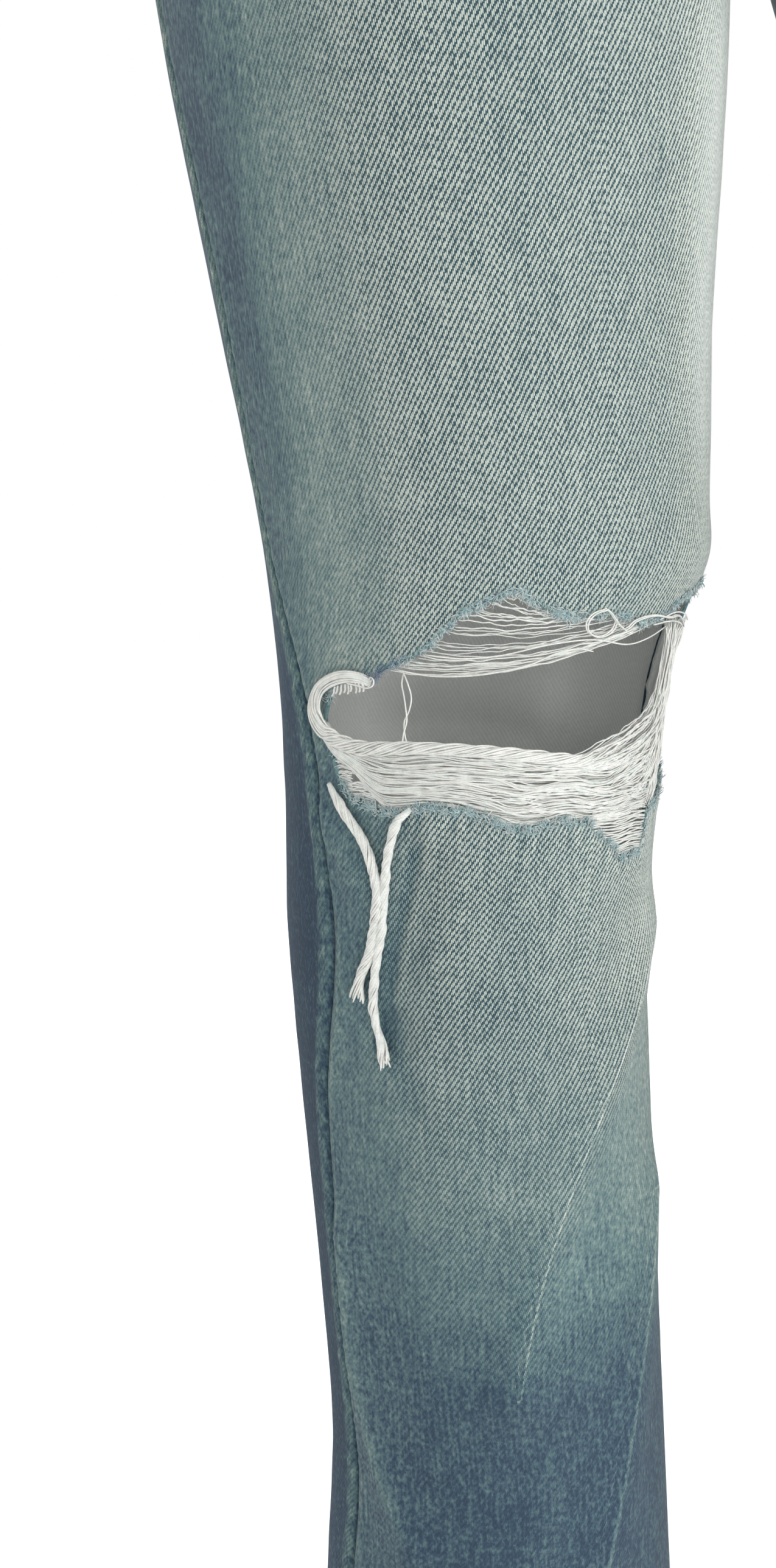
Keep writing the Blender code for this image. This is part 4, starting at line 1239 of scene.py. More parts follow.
for side, word in SIDES:
    turn = facing(side, "back")
    small_sheet(f"yoke_{word}", yoke_points(side), turn, 0.34, 3.0 + side, "bt")
    small_sheet(f"back_pocket_{word}", pocket_points(side), turn, 0.52, 6.0 + side)
    small_sheet(f"pocket_facing_{word}", facing_points(side), -turn, 0.12, 8.0, "b")
small_sheet("fly_shield", shield_points(), 1, 0.1, 2.0, "b")
print("sheets so far:", len(sheets), "with", round(sum(areas.values()), 3), "square metres")

# %% [markdown]
# ## Waistband, belt loops and hems
#
# The waistband is one strip round the waist whose left end laps over its right end. The loops are narrow
# strips sewn down at both ends. A hem is cloth turned up twice: a closed profile carried all round the leg,
# whose outer face puckers into slanting ropes.

# %% Waistband, loops and hems
LAP = 16.0  # degrees
# how far each place of the hem's section stands off the leg, and its height as a share of the hem's
HEM_SECTION = (
    (-0.0018, 1.0), (-0.0002, 1.0), (0.0006, 0.93), (0.0008, 0.75), (0.0006, 0.55), (0.0009, 0.35),
    (0.0008, 0.18), (0.0003, 0.05), (-0.0008, 0.0), (-0.002, 0.05), (-0.0026, 0.2), (-0.0027, 0.5),
    (-0.0026, 0.9),
)


def band_lift(around):
    """How far the waistband stands off the body: more where its left end laps over the right."""
    return 0.0006 + 0.0032 * soft_step(around, 345.0, 354.0)


def band_points():
    """The waistband's outer face, from its seam to its top, once round the waist and over the lap."""
    around = np.linspace(1.0, 360.0 + LAP, 330)[None, :]
    height = np.linspace(WAIST_SEAM + GAP / 2, WAIST_TOP, 16)[:, None]
    return waist_point(around, height, band_lift(around))


def loop_points(round_angle):
    """A belt loop: a strip that bows off the waistband by a sine of its height, with rolled sides."""
    up, over = np.linspace(0, 1, 44)[:, None], np.linspace(-1, 1, 13)[None, :]
    bow = 0.0028 + 0.0026 * np.sin(math.pi * up) ** 0.7 - 0.0004 * over**4
    around = round_angle + np.degrees(0.0055 * over / 0.115)
    return waist_point(around, WAIST_SEAM - 0.007 + up * 0.046, bow)


def hem_points(side, seed):
    """The hem's section carried round the leg: out over the face, round the bottom and up the inside.

    The section is a closed loop of (lift, height). Its outer face moves by roping that leans along the hem.
    """
    section = np.array(HEM_SECTION)
    angle = np.linspace(0, 360, 320)[None, :]
    lift, level = section[:, :1], section[:, 1:]
    outer = (lift > -0.0001) * 1.0
    place_on = LEG_RADIUS * np.radians(angle)
    rope = outer * waves(place_on + 0.9 * HEM_DEPTH * level, 0.0088, seed)
    points = leg_point(side, HEM_HEIGHT + level * (HEM_DEPTH - GAP), angle, lift + 0.0005 * rope)
    return points, rope, place_on + 0 * level


def make_hem(word, side, seed):
    """A hem as a closed tube: the last row of its section meets the first, and the last column the first."""
    points, rope, place_on = hem_points(side, seed)
    points, rope, place_on = points[:, :-1], rope[:, :-1], place_on[:, :-1]
    grids[f"hem_{word}"] = points, -side
    index = np.arange(place_on.size).reshape(place_on.shape)
    faces = quads(np.pad(index, ((0, 1), (0, 1)), "wrap")).reshape(-1, 4)[:, ::-side]
    level = points[..., 2] - HEM_HEIGHT
    fade = 0.22 + 0.35 * np.clip(rope, 0, 1) - 0.12 * np.clip(-rope, 0, 1) + 0.35 * bell(level, 0, 0.0012)
    tone = np.stack([fade, np.full_like(fade, 0.6), np.full_like(fade, 0.25)], -1)
    return make_mesh(f"hem_{word}_cloth", points, faces, (HEM,), np.stack([place_on, level], -1), tone)


small_sheet("waistband", band_points(), -1, 0.3, 4.0, thickness=0.0024)
LOOPS = (("front_right", 40), ("side_right", 112), ("back", 180), ("side_left", 248), ("front_left", 320))
for word, at in LOOPS:
    small_sheet(f"belt_loop_{word}", loop_points(at), -1, 0.42, at / 30, "lr", 0.0015)
loops = [f"belt_loop_{word}" for word, _ in LOOPS]
for side, word in SIDES:
    sheets[f"hem_{word}"] = make_hem(word, side, 3.0 + side)
print("pieces of cloth:", len(sheets))

# %% [markdown]
# ## Loose yarns over the knee
#
# Where the blue warp has torn away, the white weft yarns are left lying across the hole. A yarn is a thin
# tube along a smooth path on the leg. Bundles are made all at once: every yarn of a bundle follows a shared
# route, and each has its own place in it, its own waves and its own slack. All paths of a bundle become one
# mesh.

# %% Yarns as tubes
def route_curve(route, count):
    """A route's points, (angle, height, lift), read at many even places on a smooth curve through them."""
    values = np.array(route) / PLACE_UNITS
    knots = np.arange(len(values), dtype=float)
    fine = np.linspace(0, len(values) - 1, count)
    places = {"height": knots, "angle": values[:, 0], "level": values[:, 1], "lift": values[:, 2]}
    return np.stack([smooth(places, name, fine) for name in ("angle", "level", "lift")], axis=-1)


def on_leg(path):
    """Points in space for (angle, height, lift) on the right leg."""
    return leg_point(RIGHT, path[..., 1], path[..., 0], path[..., 2])


def tube_frames(paths):
    """Two unit directions across each path: cross products of its tangent and a steady outward direction."""
    tangent = unit(np.gradient(paths, axis=1))
    outwards = paths - np.array((LEG["right_x"].mean(), 0.0, 0.0))
    outwards[..., 2] = 0.13 * np.linalg.norm(outwards[..., :2], axis=-1)
    first = unit(np.cross(tangent, outwards))
    return first, np.cross(first, tangent)


def yarn_mesh(name, paths, radius, sides, tint=0.0, finish=None):
    """Tubes along many paths as one mesh: point + radius * (cos * first + sin * second), with capped ends.

    radius is one number or one for each point. tint holds two values a yarn, kept in tone's red and green:
    how far it is dyed teal, and how far indigo.
    """
    yarns, count = paths.shape[:2]
    first, second = tube_frames(paths)
    turn = np.linspace(0, 2 * math.pi, sides + 1)[:-1]
    radius = np.broadcast_to(np.asarray(radius, float), (yarns, count))[..., None, None]
    ring = np.cos(turn)[:, None] * first[:, :, None] + np.sin(turn)[:, None] * second[:, :, None]
    points = paths[:, :, None] + radius * ring
    index = np.arange(yarns * count * sides).reshape(yarns, count, sides)
    beside = np.roll(index, -1, axis=2)
    walls = np.stack([index[:, :-1], index[:, 1:], beside[:, 1:], beside[:, :-1]], axis=-1).reshape(-1, 4)
    length = along(paths, 1)
    uv = np.stack(np.broadcast_arrays(turn / (2 * math.pi), length[..., None]), axis=-1)
    tone = np.zeros((yarns, count, sides, 3))
    if np.ndim(tint):
        tone[..., :2] = np.asarray(tint, float)[:, None, None, :]
    faces = np.concatenate([walls, index[:, 0, :4], index[:, -1, 3::-1]])
    return make_mesh(name, points, faces, (finish or YARN_FINISH,), uv, tone)


def wander(count, points, period, height):
    """Smooth random waves, one row for each yarn: three sines with random phases and uneven periods."""
    place_on = np.linspace(0, 1, points)[None, :]
    total = np.zeros((count, points))
    for share, size in ((1.0, 1.0), (0.43, 0.5), (0.21, 0.25)):
        phase = rng.uniform(0, 2 * math.pi, (count, 1))
        stretch = rng.uniform(0.7, 1.4, (count, 1))
        total += size * np.sin(2 * math.pi * place_on / (period * share * stretch) + phase)
    return height * total / 1.75


def tapered(points, ends=0.06, thin=0.25):
    """A share of the radius for each point: full in the middle, thin at both ends."""
    place_on = np.linspace(0, 1, points)
    return thin + (1 - thin) * soft_step(np.minimum(place_on, 1 - place_on), 0.0, ends)


def degrees_of(metres):
    """A length round the leg as an angle."""
    return np.degrees(np.asarray(metres) / LEG_RADIUS)


print("half a millimetre round the leg is", round(float(degrees_of(0.0005)), 2), "degrees")

# %% [markdown]
# ## The yarn's finish
#
# Bare cotton is matt and slightly translucent, with a twist that shows as slanting furrows, darkened as
# painted shade. The twist is a stripe in the yarn's own map: its angle share plus its length over one turn.
# Teal dye clings to yarn ends.

# %% Cotton yarn
TWIST_LENGTH = 0.0011
# the second colour is painted shade in the twist's furrows, and the tone of its darker soft patches
COTTON, COTTON_FURROW_SHADOW_AND_MOTTLE = srgb(232, 232, 227), srgb(200, 202, 197)
DYED, INDIGO = srgb(134, 172, 178), srgb(62, 86, 132)


def cotton(name="cotton yarn", pale=COTTON, furrow_shadow_and_mottle=COTTON_FURROW_SHADOW_AND_MOTTLE):
    """Pale cotton with painted shade in its furrows, and darker in soft patches.
    Tone's red dyes it teal, and its green indigo.

    A furrow's depth is how far 2 * angle share + length / twist length is from a half, past its whole part.
    """
    made, graph, shader = new_material(name, 0.9, 0.25)
    part = graph.node("ShaderNodeSeparateXYZ", {0: graph.cloth()}).outputs
    turns = graph.add(graph.times(part["X"], 2.0), graph.maths("DIVIDE", part["Y"], TWIST_LENGTH))
    furrow = graph.maths("ABSOLUTE", graph.less(graph.maths("FRACT", turns), 0.5))
    where = graph.node("ShaderNodeTexCoord").outputs["Object"]
    cloud = graph.noise(where, 420.0, 3.0, 0.6)
    # the furrows' share is painted shade, the cloud's a random darker tone
    shade = graph.times(graph.add(furrow, graph.step(cloud, 0.35, 0.7)), 0.55)
    _, tint = graph.tone()
    colour = graph.mix(tint["Red"], graph.mix(shade, pale, furrow_shadow_and_mottle), DYED)
    colour = graph.mix(tint["Green"], colour, INDIGO)
    graph.feed(shader["Base Color"], colour)
    shader["Subsurface Weight"].default_value = 0.12
    shader["Subsurface Scale"].default_value = 0.0006
    graph.bump(shader, furrow, 0.00005, 0.4)
    return made


YARN_FINISH = cotton()
print("finish:", YARN_FINISH.name)

# %% [markdown]
# ## The rope
#
# At the left end of the hole some thirty yarns hook over the torn edge, sweep down in a wide ribbon and twist
# into a rope that lies across the knee. They are four plies in a flat oval section. The section turns with
# the length, hardly at all on the hook and evenly along the rope, and narrows where it is twisted.

# %% Rope
ROPE_ROUTE = (
    (40.5, -596.2, 0.3), (43.5, -594.6, 1.6), (47.5, -594.4, 3), (52, -596, 3.4), (56, -599, 3.4),
    (58.4, -603, 3.3), (58.6, -607.5, 3.2), (56, -612, 3), (51, -615, 2), (44, -616.6, 0.8), (35, -616, 0.4),
    (25, -615.4, 0.2), (14, -615.8, 0.2), (4, -616.6, 0.2), (-6, -618, 0.2), (-16, -619.8, 0.2),
    (-25, -620.8, 0), (-33, -620.2, -0.2), (-40, -619, -0.4),
)


def make_rope():
    """Four plies of seven yarns: a ply turns round the route, and its yarns keep their places in it."""
    plies, yarns, count = 4, 7, 150
    middle = on_leg(route_curve(ROPE_ROUTE, count))
    first, second = tube_frames(middle[None])
    place_on = np.linspace(0, 1, count)
    half_width = np.interp(place_on, (0, 0.12, 0.3, 0.42, 0.6, 0.8, 1.0),
                           (1.3, 2.0, 2.6, 2.4, 1.8, 1.8, 2.8)) / 1000
    half_depth = np.interp(place_on, (0, 0.12, 0.3, 0.45, 0.6, 0.8, 1.0),
                           (0.5, 0.7, 0.8, 1.2, 1.5, 1.3, 0.6)) / 1000
    turned = 2 * math.pi * np.interp(place_on, (0, 0.2, 0.4, 1.0), (0.0, 0.04, 0.25, 4.0))
    paths = []
    for ply in range(plies):
        around = turned + 2 * math.pi * (ply + 0.5) / plies
        for yarn in range(yarns):
            own = around + 2 * math.pi * yarn / (yarns - 1) + rng.normal(0, 0.15)
            reach = 0.46 * min(yarn, 1)
            across = half_width * (0.56 * np.cos(around) + reach * np.cos(own))
            across = across + wander(1, count, 0.3, 0.00012)[0]
            out = half_depth * (0.56 * np.sin(around) + reach * np.sin(own))
            out = out + wander(1, count, 0.3, 0.0001)[0]
            paths.append(middle + across[:, None] * first[0] + out[:, None] * second[0])
    paths = np.array(paths)
    radius = rng.uniform(0.85, 1.15, (len(paths), 1)) * 0.00036 * tapered(count, 0.03, 0.5)
    return yarn_mesh("rope_yarns", paths, radius, 5)


rope = make_rope()
print("rope faces:", len(rope.data.polygons))

# %% [markdown]
# ## The hank, the upper yarns and the ladders
#
# Below the rope close on two hundred yarns lie side by side in a loose hank, gathered at the left and spread
# at the right. Above it a fan of finer yarns hangs from the torn edge, each sagging more than the last. Short
# ladders of yarn span the notches where a little warp held on.

# %% Hank
# angle and height of the hank's upper limit
HANK_TOP_ROWS = (
    (60, -0.606), (58, -0.6092), (56, -0.6126), (53, -0.6156), (47, -0.6172), (41, -0.6174), (34, -0.6172),
    (20, -0.6168), (8, -0.617), (-5, -0.6182), (-15, -0.6196), (-30, -0.6196), (-40, -0.617), (-52, -0.612),
)
HANK_CLUMPS = 15
FINE_RADIUS = 0.0002
HANK_COUNT = 84  # points on each of the longer yarns


def hank_limits(angle):
    """The hank's limits: a table above, and the torn edge's rows evened out over 12 degrees below."""
    top = np.array(HANK_TOP_ROWS, float)[::-1]
    upper = np.interp(angle, top[:, 0], top[:, 1])
    gathered = soft_step(angle, 36, 55)
    held = np.clip(angle, -28, 47)
    edge = np.mean([np.interp(held + off, RIP["angle"], RIP["bottom"]) for off in (-6, -3, 0, 3, 6)], axis=0)
    lower = np.maximum(edge - 0.001, -0.6415)
    return upper, lower + gathered * (upper - 0.0052 - lower)


def make_hank():
    """Yarns at shares of the way from the upper limit to the lower. A clump's yarns share its waves."""
    front, behind, count = 132, 56, HANK_COUNT
    yarns = front + behind
    clump = rng.integers(0, HANK_CLUMPS, yarns)
    seats = (np.arange(HANK_CLUMPS) + rng.uniform(0.1, 0.9, HANK_CLUMPS)) / HANK_CLUMPS
    clump_waves = wander(HANK_CLUMPS, count, 0.62, 0.06) + wander(HANK_CLUMPS, count, 0.24, 0.016)
    share = seats[clump][:, None] + rng.normal(0, 0.034, (yarns, 1)) + clump_waves[clump]
    share = share + wander(yarns, count, 0.8, 0.035) + wander(yarns, count, 0.2, 0.003)
    share[front:] = np.linspace(0.02, 0.98, behind)[:, None] + wander(behind, count, 0.7, 0.05)
    share = np.clip(share, 0, 1 + 0.04 * rng.uniform(0, 1, (yarns, 1)))
    starts, ends = 57.6 + rng.normal(0, 0.5, (yarns, 1)), -49 + rng.normal(0, 3.0, (yarns, 1))
    angle = starts + np.linspace(0, 1, count) * (ends - starts)
    upper, lower = hank_limits(angle)
    lift = rng.uniform(-0.0009, 0.0009, (yarns, 1)) + wander(yarns, count, 0.5, 0.0004)
    lift[front:] -= 0.0019
    lift = lift - 0.002 * soft_step(share, 0.72, 0.96) + 0.0008 * soft_step(angle, 46, 54)
    paths = on_leg(np.stack([angle, upper + share * (lower - upper), lift], axis=-1))
    radius = rng.uniform(0.8, 1.3, (yarns, 1)) * 1.12 * FINE_RADIUS * tapered(count, 0.02, 0.5)
    radius[front:] *= 1.8
    return yarn_mesh("hank_yarns", paths, radius, 4)


hank = make_hank()
print("hank faces:", len(hank.data.polygons))

# %% Upper yarns
def make_upper_yarns():
    """The fan below the upper edge: a yarn of share k runs from edge to edge, and sags by a power of k."""
    yarns, count = 34, HANK_COUNT
    share = (np.linspace(0, 1, yarns) ** 0.8)[:, None]
    start = 4 + 33 * share + rng.normal(0, 0.8, (yarns, 1))
    end = -4 - 44 * share + rng.normal(0, 2.5, (yarns, 1))
    place_on = np.linspace(0, 1, count)
    angle = start + place_on * (end - start)
    from_edge, to_edge = rip_edge("top", start), rip_edge("top", end)
    straight = from_edge + place_on * (to_edge - from_edge)
    sag = (0.0006 + 0.0052 * share**1.5) * np.sin(math.pi * place_on**0.85) ** 0.9
    clump = rng.integers(0, 7, yarns)
    height = straight - sag + wander(7, count, 0.4, 0.0004)[clump] + wander(yarns, count, 0.3, 0.00022)
    height = np.minimum(height, rip_edge("top", angle) + 0.0008)
    lift = -0.001 + rng.uniform(-0.0004, 0.0006, (yarns, 1)) + wander(yarns, count, 0.5, 0.0004)
    paths = on_leg(np.stack([angle, height, lift], axis=-1))
    radius = rng.uniform(0.7, 1.3, (yarns, 1)) * 0.9 * FINE_RADIUS * tapered(count, 0.05, 0.5)
    return yarn_mesh("upper_yarns", paths, radius, 4)


upper_yarns = make_upper_yarns()
print("upper yarn faces:", len(upper_yarns.data.polygons))

# %% Ladders
# angle from, angle to, highest, lowest, yarns, height of the waves
LADDERS = (
    (-24, -53, -0.636, -0.6522, 24, 0.00035),
    (59, 48, -0.62, -0.629, 15, 0.00025),
    (55, 41, -0.628, -0.6335, 12, 0.00025),
)


def make_ladders():
    """Short rungs between two angles, evenly spaced down a notch, with waves that the whole notch shares."""
    paths = []
    for start, end, high, low, yarns, waviness in LADDERS:
        place_on = np.linspace(0, 1, 28)
        angle = start + place_on * (end - start) + rng.normal(0, 0.8, (yarns, 1))
        level = np.linspace(high, low, yarns)[:, None] + rng.normal(0, 0.00015, (yarns, 1))
        shared = waviness * np.sin(2 * math.pi * place_on * 1.6 + 0.8)
        height = level + shared + wander(yarns, 28, 0.5, 0.00022)
        lift = -0.0006 + wander(yarns, 28, 0.8, 0.0003)
        paths.append(on_leg(np.stack([angle, height, lift], axis=-1)))
    return yarn_mesh("ladder_yarns", np.concatenate(paths), 0.00029 * tapered(28, 0.05, 0.5), 4)


ladders = make_ladders()
print("ladder faces:", len(ladders.data.polygons))

# %% [markdown]
# ## The side bundle and the stray yarns
#
# At the right end the yarns turn up the side of the hole as a thick, feathery bundle. A few stray ones lie
# free: a ring that curls on the upper edge, a pair that hangs in the opening, and short cut loops under the
# hook.

# %% Routes of the side bundle and the strays
SIDE_ROUTES = (
    ((-58, -579, 0.4), (-57, -586, 0.4), (-57, -595, 0.4), (-58, -606, 0.4),
     (-57, -618, 0.2), (-55, -629, 0), (-51, -637, -0.3)),
    ((-50, -578, 0), (-53, -586, 0.4), (-54, -595, 0.6), (-53, -608, 0.6),
     (-49, -617, 0.4), (-42, -623, 0), (-31, -629, -0.4)),
    ((-56, -598, 0.6), (-54, -606, 0.8), (-50, -612, 1), (-43, -616, 0.8),
     (-35, -619, 0.6), (-26, -621.5, 0.3), (-14, -623.5, 0)),
    ((-52, -601, 0.4), (-47, -607, 0.8), (-41, -610.5, 1), (-35, -613, 1),
     (-29, -615.5, 0.8), (-21, -619, 0.4), (-10, -621.5, 0)),
    ((-55, -608, 0.2), (-54, -616, 0.4), (-51, -623.5, 0.4), (-46, -629, 0.2),
     (-40, -633, 0), (-34, -635.5, -0.4), (-28, -637, -0.8)),
)
SIDE_YARNS = (40, 34, 26, 18, 26)
STRAY_ROUTES = (
    # the pair that hangs in the opening
    ((31.5, -592.5, -1.2), (30, -596, -0.6), (29, -600, -0.4), (29.6, -604, -0.4),
     (31, -607.5, -0.4), (31, -611, -0.4), (30.2, -615, -0.4)),
    ((31.5, -592.5, -1.4), (31.8, -596, -0.8), (31, -600, -0.4), (30.4, -604, 0),
     (30.2, -607.5, 0), (31.2, -611.5, 0), (31.6, -615.5, 0)),
    # two slack yarns below the fan
    ((34, -591.5, -0.4), (24, -593.2, -0.3), (14, -593, -0.2), (6, -591.8, -0.2),
     (-2, -589.6, -0.2), (-8, -586.6, 0), (-14, -585.2, 0.2), (-19, -586.2, 0.2)),
    ((26, -586.8, -0.4), (16, -587.8, -0.3), (6, -586.8, -0.2), (-6, -583.8, -0.2),
     (-18, -582.6, -0.2), (-30, -584.6, 0), (-38, -583.2, 0.2), (-46, -580, 0.2)),
    # ends that lie over the edge on the right
    ((-40, -577.5, 1.2), (-46, -575.5, 2), (-53, -576.5, 2.1), (-60, -579, 1.6)),
    ((-38, -579, 1), (-45, -578.2, 1.8), (-52, -579.2, 1.8), (-58, -581.2, 1.2)),
    # the hook's last yarn, which loops back on the edge
    ((46, -596.2, 4), (43, -596.8, 3.4), (40.4, -597.4, 3), (38.8, -596.6, 2.6),
     (38.7, -595, 2.2), (39.7, -594.2, 1.8), (40.6, -595, 1.2)),
)
RING_CENTRE, RING_REACH = (-19.5, -577.8), (4.4, 4.0)
print("side yarns:", sum(SIDE_YARNS), "strays:", len(STRAY_ROUTES))

# %% Side bundle and strays
def ring_route():
    """The curled yarn: once round an oval on the torn edge, then off along the edge in low waves."""
    turn = np.radians(np.linspace(78, 400, 22))
    angle = RING_CENTRE[0] - RING_REACH[0] * np.cos(turn)
    height = RING_CENTRE[1] + RING_REACH[1] * np.sin(turn)
    lift = 1.0 + 0.8 * np.sin(turn / 2)
    ring = np.stack([angle, height, lift], axis=-1)[::-1]
    tail = np.array([(-26.5, -580, 1.8), (-29.5, -577.6, 2), (-33.5, -576.3, 2),
                     (-38.5, -576.2, 2), (-44, -577.2, 2), (-49.5, -576.8, 2),
                     (-55, -579.2, 1.8), (-60, -581.2, 1.2)])
    return np.concatenate([ring, tail])


def make_side_bundle():
    """Yarns round five shared routes: each is moved sideways and outwards by its own share, and waves."""
    paths, count = [], 52
    for route, yarns in zip(SIDE_ROUTES, SIDE_YARNS):
        centre = np.broadcast_to(route_curve(route, count), (yarns, count, 3)).copy()
        spread = rng.uniform(-1, 1, (yarns, 1)) * np.linspace(0.9, 1.2, count)
        centre[..., 0] += degrees_of(0.003 * spread + wander(yarns, count, 0.5, 0.0006))
        centre[..., 1] += 0.0016 * np.roll(spread, 1, axis=0) + wander(yarns, count, 0.4, 0.0005)
        centre[..., 2] += rng.uniform(-0.0014, 0.0008, (yarns, 1)) + wander(yarns, count, 0.35, 0.0004)
        paths.append(on_leg(centre))
    radius = rng.uniform(0.7, 1.3, (sum(SIDE_YARNS), 1)) * 1.25 * FINE_RADIUS * tapered(count, 0.1, 0.3)
    return yarn_mesh("side_bundle_yarns", np.concatenate(paths), radius, 4)


def make_strays():
    """The free single yarns, and a comb of short frayed ends under the hook."""
    count = 64
    paths = [on_leg(route_curve(route, count)) for route in STRAY_ROUTES]
    paths.append(on_leg(route_curve(ring_route(), count)))
    paths.append(on_leg(route_curve(ring_route() + np.array((0.5, 0.3, -0.3)), count)))
    single = len(paths)
    for place_on in np.linspace(0, 1, 9):
        top = np.array((42.2 + 8.6 * place_on, -595.8 - 1.8 * place_on**1.5, 2.2 + 0.4 * rng.normal()))
        hang = np.array([(0.0, 0.0, 0.0), (-0.3, -1.0, -0.1), (-0.3, -2.1, -0.6), (0.2, -3.1, -1.2)])
        hang[:, 0] += 2.0 * place_on * np.linspace(0, 1, 4)
        paths.append(on_leg(route_curve(top + hang * rng.uniform(0.85, 1.15), count)))
    paths = np.array(paths)
    radius = np.where(np.arange(len(paths)) < single, 0.00024, 0.00034)[:, None] * tapered(count, 0.03, 0.5)
    return yarn_mesh("stray_yarns", paths, radius, 5)


side_bundle, strays = make_side_bundle(), make_strays()
print("side bundle and stray faces:", len(side_bundle.data.polygons), len(strays.data.polygons))

# %% [markdown]
# ## The tassels
#
# Two cords of twisted ends hang down the shin from the lower edge. Each is a ring of yarns round a few more,
# with so slow a twist that its furrows only slant. They lean on each other half way, then open into loose
# tufts.

# %% Tassels
TASSEL_SHORT_ROUTE = (
    (55, -629, 2), (49, -637, 2.6), (43.8, -644, 2.6), (40.2, -652, 2.5), (38.2, -660, 2.4),
    (38.2, -668, 2.4), (39.3, -676, 2.4), (41.1, -684, 2.4), (44.3, -692.5, 2.4), (45.6, -700, 2.4),
)
TASSEL_LONG_ROUTE = (
    (29, -634.5, 1), (32.6, -639, 2.2), (34.6, -646, 2.3), (35.6, -653, 2.3), (36, -660, 2.3),
    (36.4, -668, 2.3), (37.2, -676, 2.3), (38.5, -684, 2.3), (39.8, -692, 2.3), (40.8, -700, 2.3),
    (40.3, -708.5, 2.3), (39, -715.5, 2.2), (37.4, -721.5, 2.1),
)


def make_tassel(name, route, cord_radius, turns, tuft_from):
    """An outer ring of yarns and an inner one, which turn slowly round the route as they run down it.

    Past tuft_from the cord opens: the turning slows and the yarns run on, each apart by its own lean.
    """
    outer, inner, count = 11, 4, 96
    path = on_leg(route_curve(route, count))
    first, second = tube_frames(path[None])
    place_on = np.linspace(0, 1, count)
    loose = soft_step(place_on, tuft_from, 1.0)
    width = cord_radius * (1 + 0.3 * loose) * (0.5 + 0.5 * soft_step(place_on, 0.0, 0.1))
    width = width * (1 + 0.1 * waves(place_on, 0.21, turns))
    turned = -2 * math.pi * turns * np.minimum(place_on, 0.5 * (place_on + tuft_from))
    paths = []
    for yarn in range(outer + inner):
        many, reach = (outer, 0.76) if yarn < outer else (inner, 0.34)
        own = turned + 2 * math.pi * yarn / many + wander(1, count, 0.3, 0.12)[0]
        reach = reach * (1 + 0.12 * rng.normal()) * width
        across = reach * np.cos(own) + loose**2 * rng.normal(0, 0.001) + wander(1, count, 0.15, 0.00008)[0]
        whole = path + across[:, None] * first[0] + (0.85 * reach * np.sin(own))[:, None] * second[0]
        cut_at = place_on * (1 - 0.055 * rng.uniform())
        paths.append(np.stack([np.interp(cut_at, place_on, whole[:, axis]) for axis in range(3)], axis=-1))
    paths = np.array(paths)
    radius = rng.uniform(0.8, 1.25, (len(paths), 1)) * 0.27 * cord_radius * tapered(count, 0.03, 0.5)
    return yarn_mesh(name, paths, radius, 5)


tassel_short = make_tassel("tassel_short_yarns", TASSEL_SHORT_ROUTE, 0.00165, 4.2, 0.86)
tassel_long = make_tassel("tassel_long_yarns", TASSEL_LONG_ROUTE, 0.0015, 5.2, 0.84)
print("tassel faces:", len(tassel_short.data.polygons), len(tassel_long.data.polygons))

# %% [markdown]
# ## Fuzz on the torn edges
#
# Torn denim ends in a soft fringe. Short ends of the warp stick out of the edge, still tinted teal, with fine
# white fluff between them. Both are very short yarns planted along the edge and curled at random.

# %% Torn edge fuzz
FUZZ_POINTS = 5
FUZZ_CLUMPS = 110


def make_fuzz(name, count, reach, radius, tint):
    """Short curved hairs on both torn edges, in clumps whose hairs share a place and a heading.

    A hair starts on the edge or up to a band's width back from it, where it stands on the face. It runs on
    by the sine and cosine of a heading that turns evenly along it.
    """
    paths, tints = [], []
    step = np.linspace(0, 1, FUZZ_POINTS)
    for edge, away in (("top", -1.0), ("bottom", 1.0)):
        clump = rng.integers(0, FUZZ_CLUMPS, (count, 1))
        seats = rng.uniform(-78, 56.5, FUZZ_CLUMPS)
        leans = rng.normal(0, 0.8, FUZZ_CLUMPS)
        sizes = rng.uniform(0.6, 1.3, FUZZ_CLUMPS)
        angle = seats[clump] + rng.normal(0, 0.75, (count, 1))
        size = rng.uniform(*reach, (count, 1)) * sizes[clump]
        bend = rng.normal(0, 1.1, (count, 1))
        heading = leans[clump] + rng.normal(0, 0.55, (count, 1)) + bend * step
        sideways = np.cumsum(np.sin(heading), axis=1) / FUZZ_POINTS * size
        forward = np.cumsum(np.cos(heading), axis=1) / FUZZ_POINTS * size
        set_back = FRAY_BAND * rng.uniform(0.0, 1.0, (count, 1)) ** 1.3
        on_face = set_back > 0.0004
        above, below = rng.uniform(0.0, 0.0003, (count, 1)), rng.uniform(-0.0011, 0.0004, (count, 1))
        start = np.where(on_face, above, below)
        lift = start + np.abs(rng.normal(0.1, 0.3, (count, 1))) * size * np.sin(0.5 * math.pi * step)
        height = rip_edge(edge, angle) + away * (forward - set_back)
        paths.append(on_leg(np.stack([angle + degrees_of(sideways), height, lift], axis=-1)))
        indigo = 0.9 * bell(angle, *INDIGO_PATCH[:2]) * (edge == "top") * rng.uniform(0.4, 1, (count, 1))
        tints.append(np.concatenate([np.clip(rng.normal(tint, 0.3, (count, 1)), 0, 1), indigo], axis=1))
    taper = np.linspace(1, 0.4, FUZZ_POINTS)
    return yarn_mesh(name, np.concatenate(paths), radius * taper, 4, np.concatenate(tints))


edge_tufts = make_fuzz("edge_tufts", 1500, (0.001, 0.0024), 0.00018, 0.7)
edge_fluff = make_fuzz("edge_fluff", 700, (0.0012, 0.003), 0.00011, 0.38)
print("fuzz faces:", len(edge_tufts.data.polygons), len(edge_fluff.data.polygons))

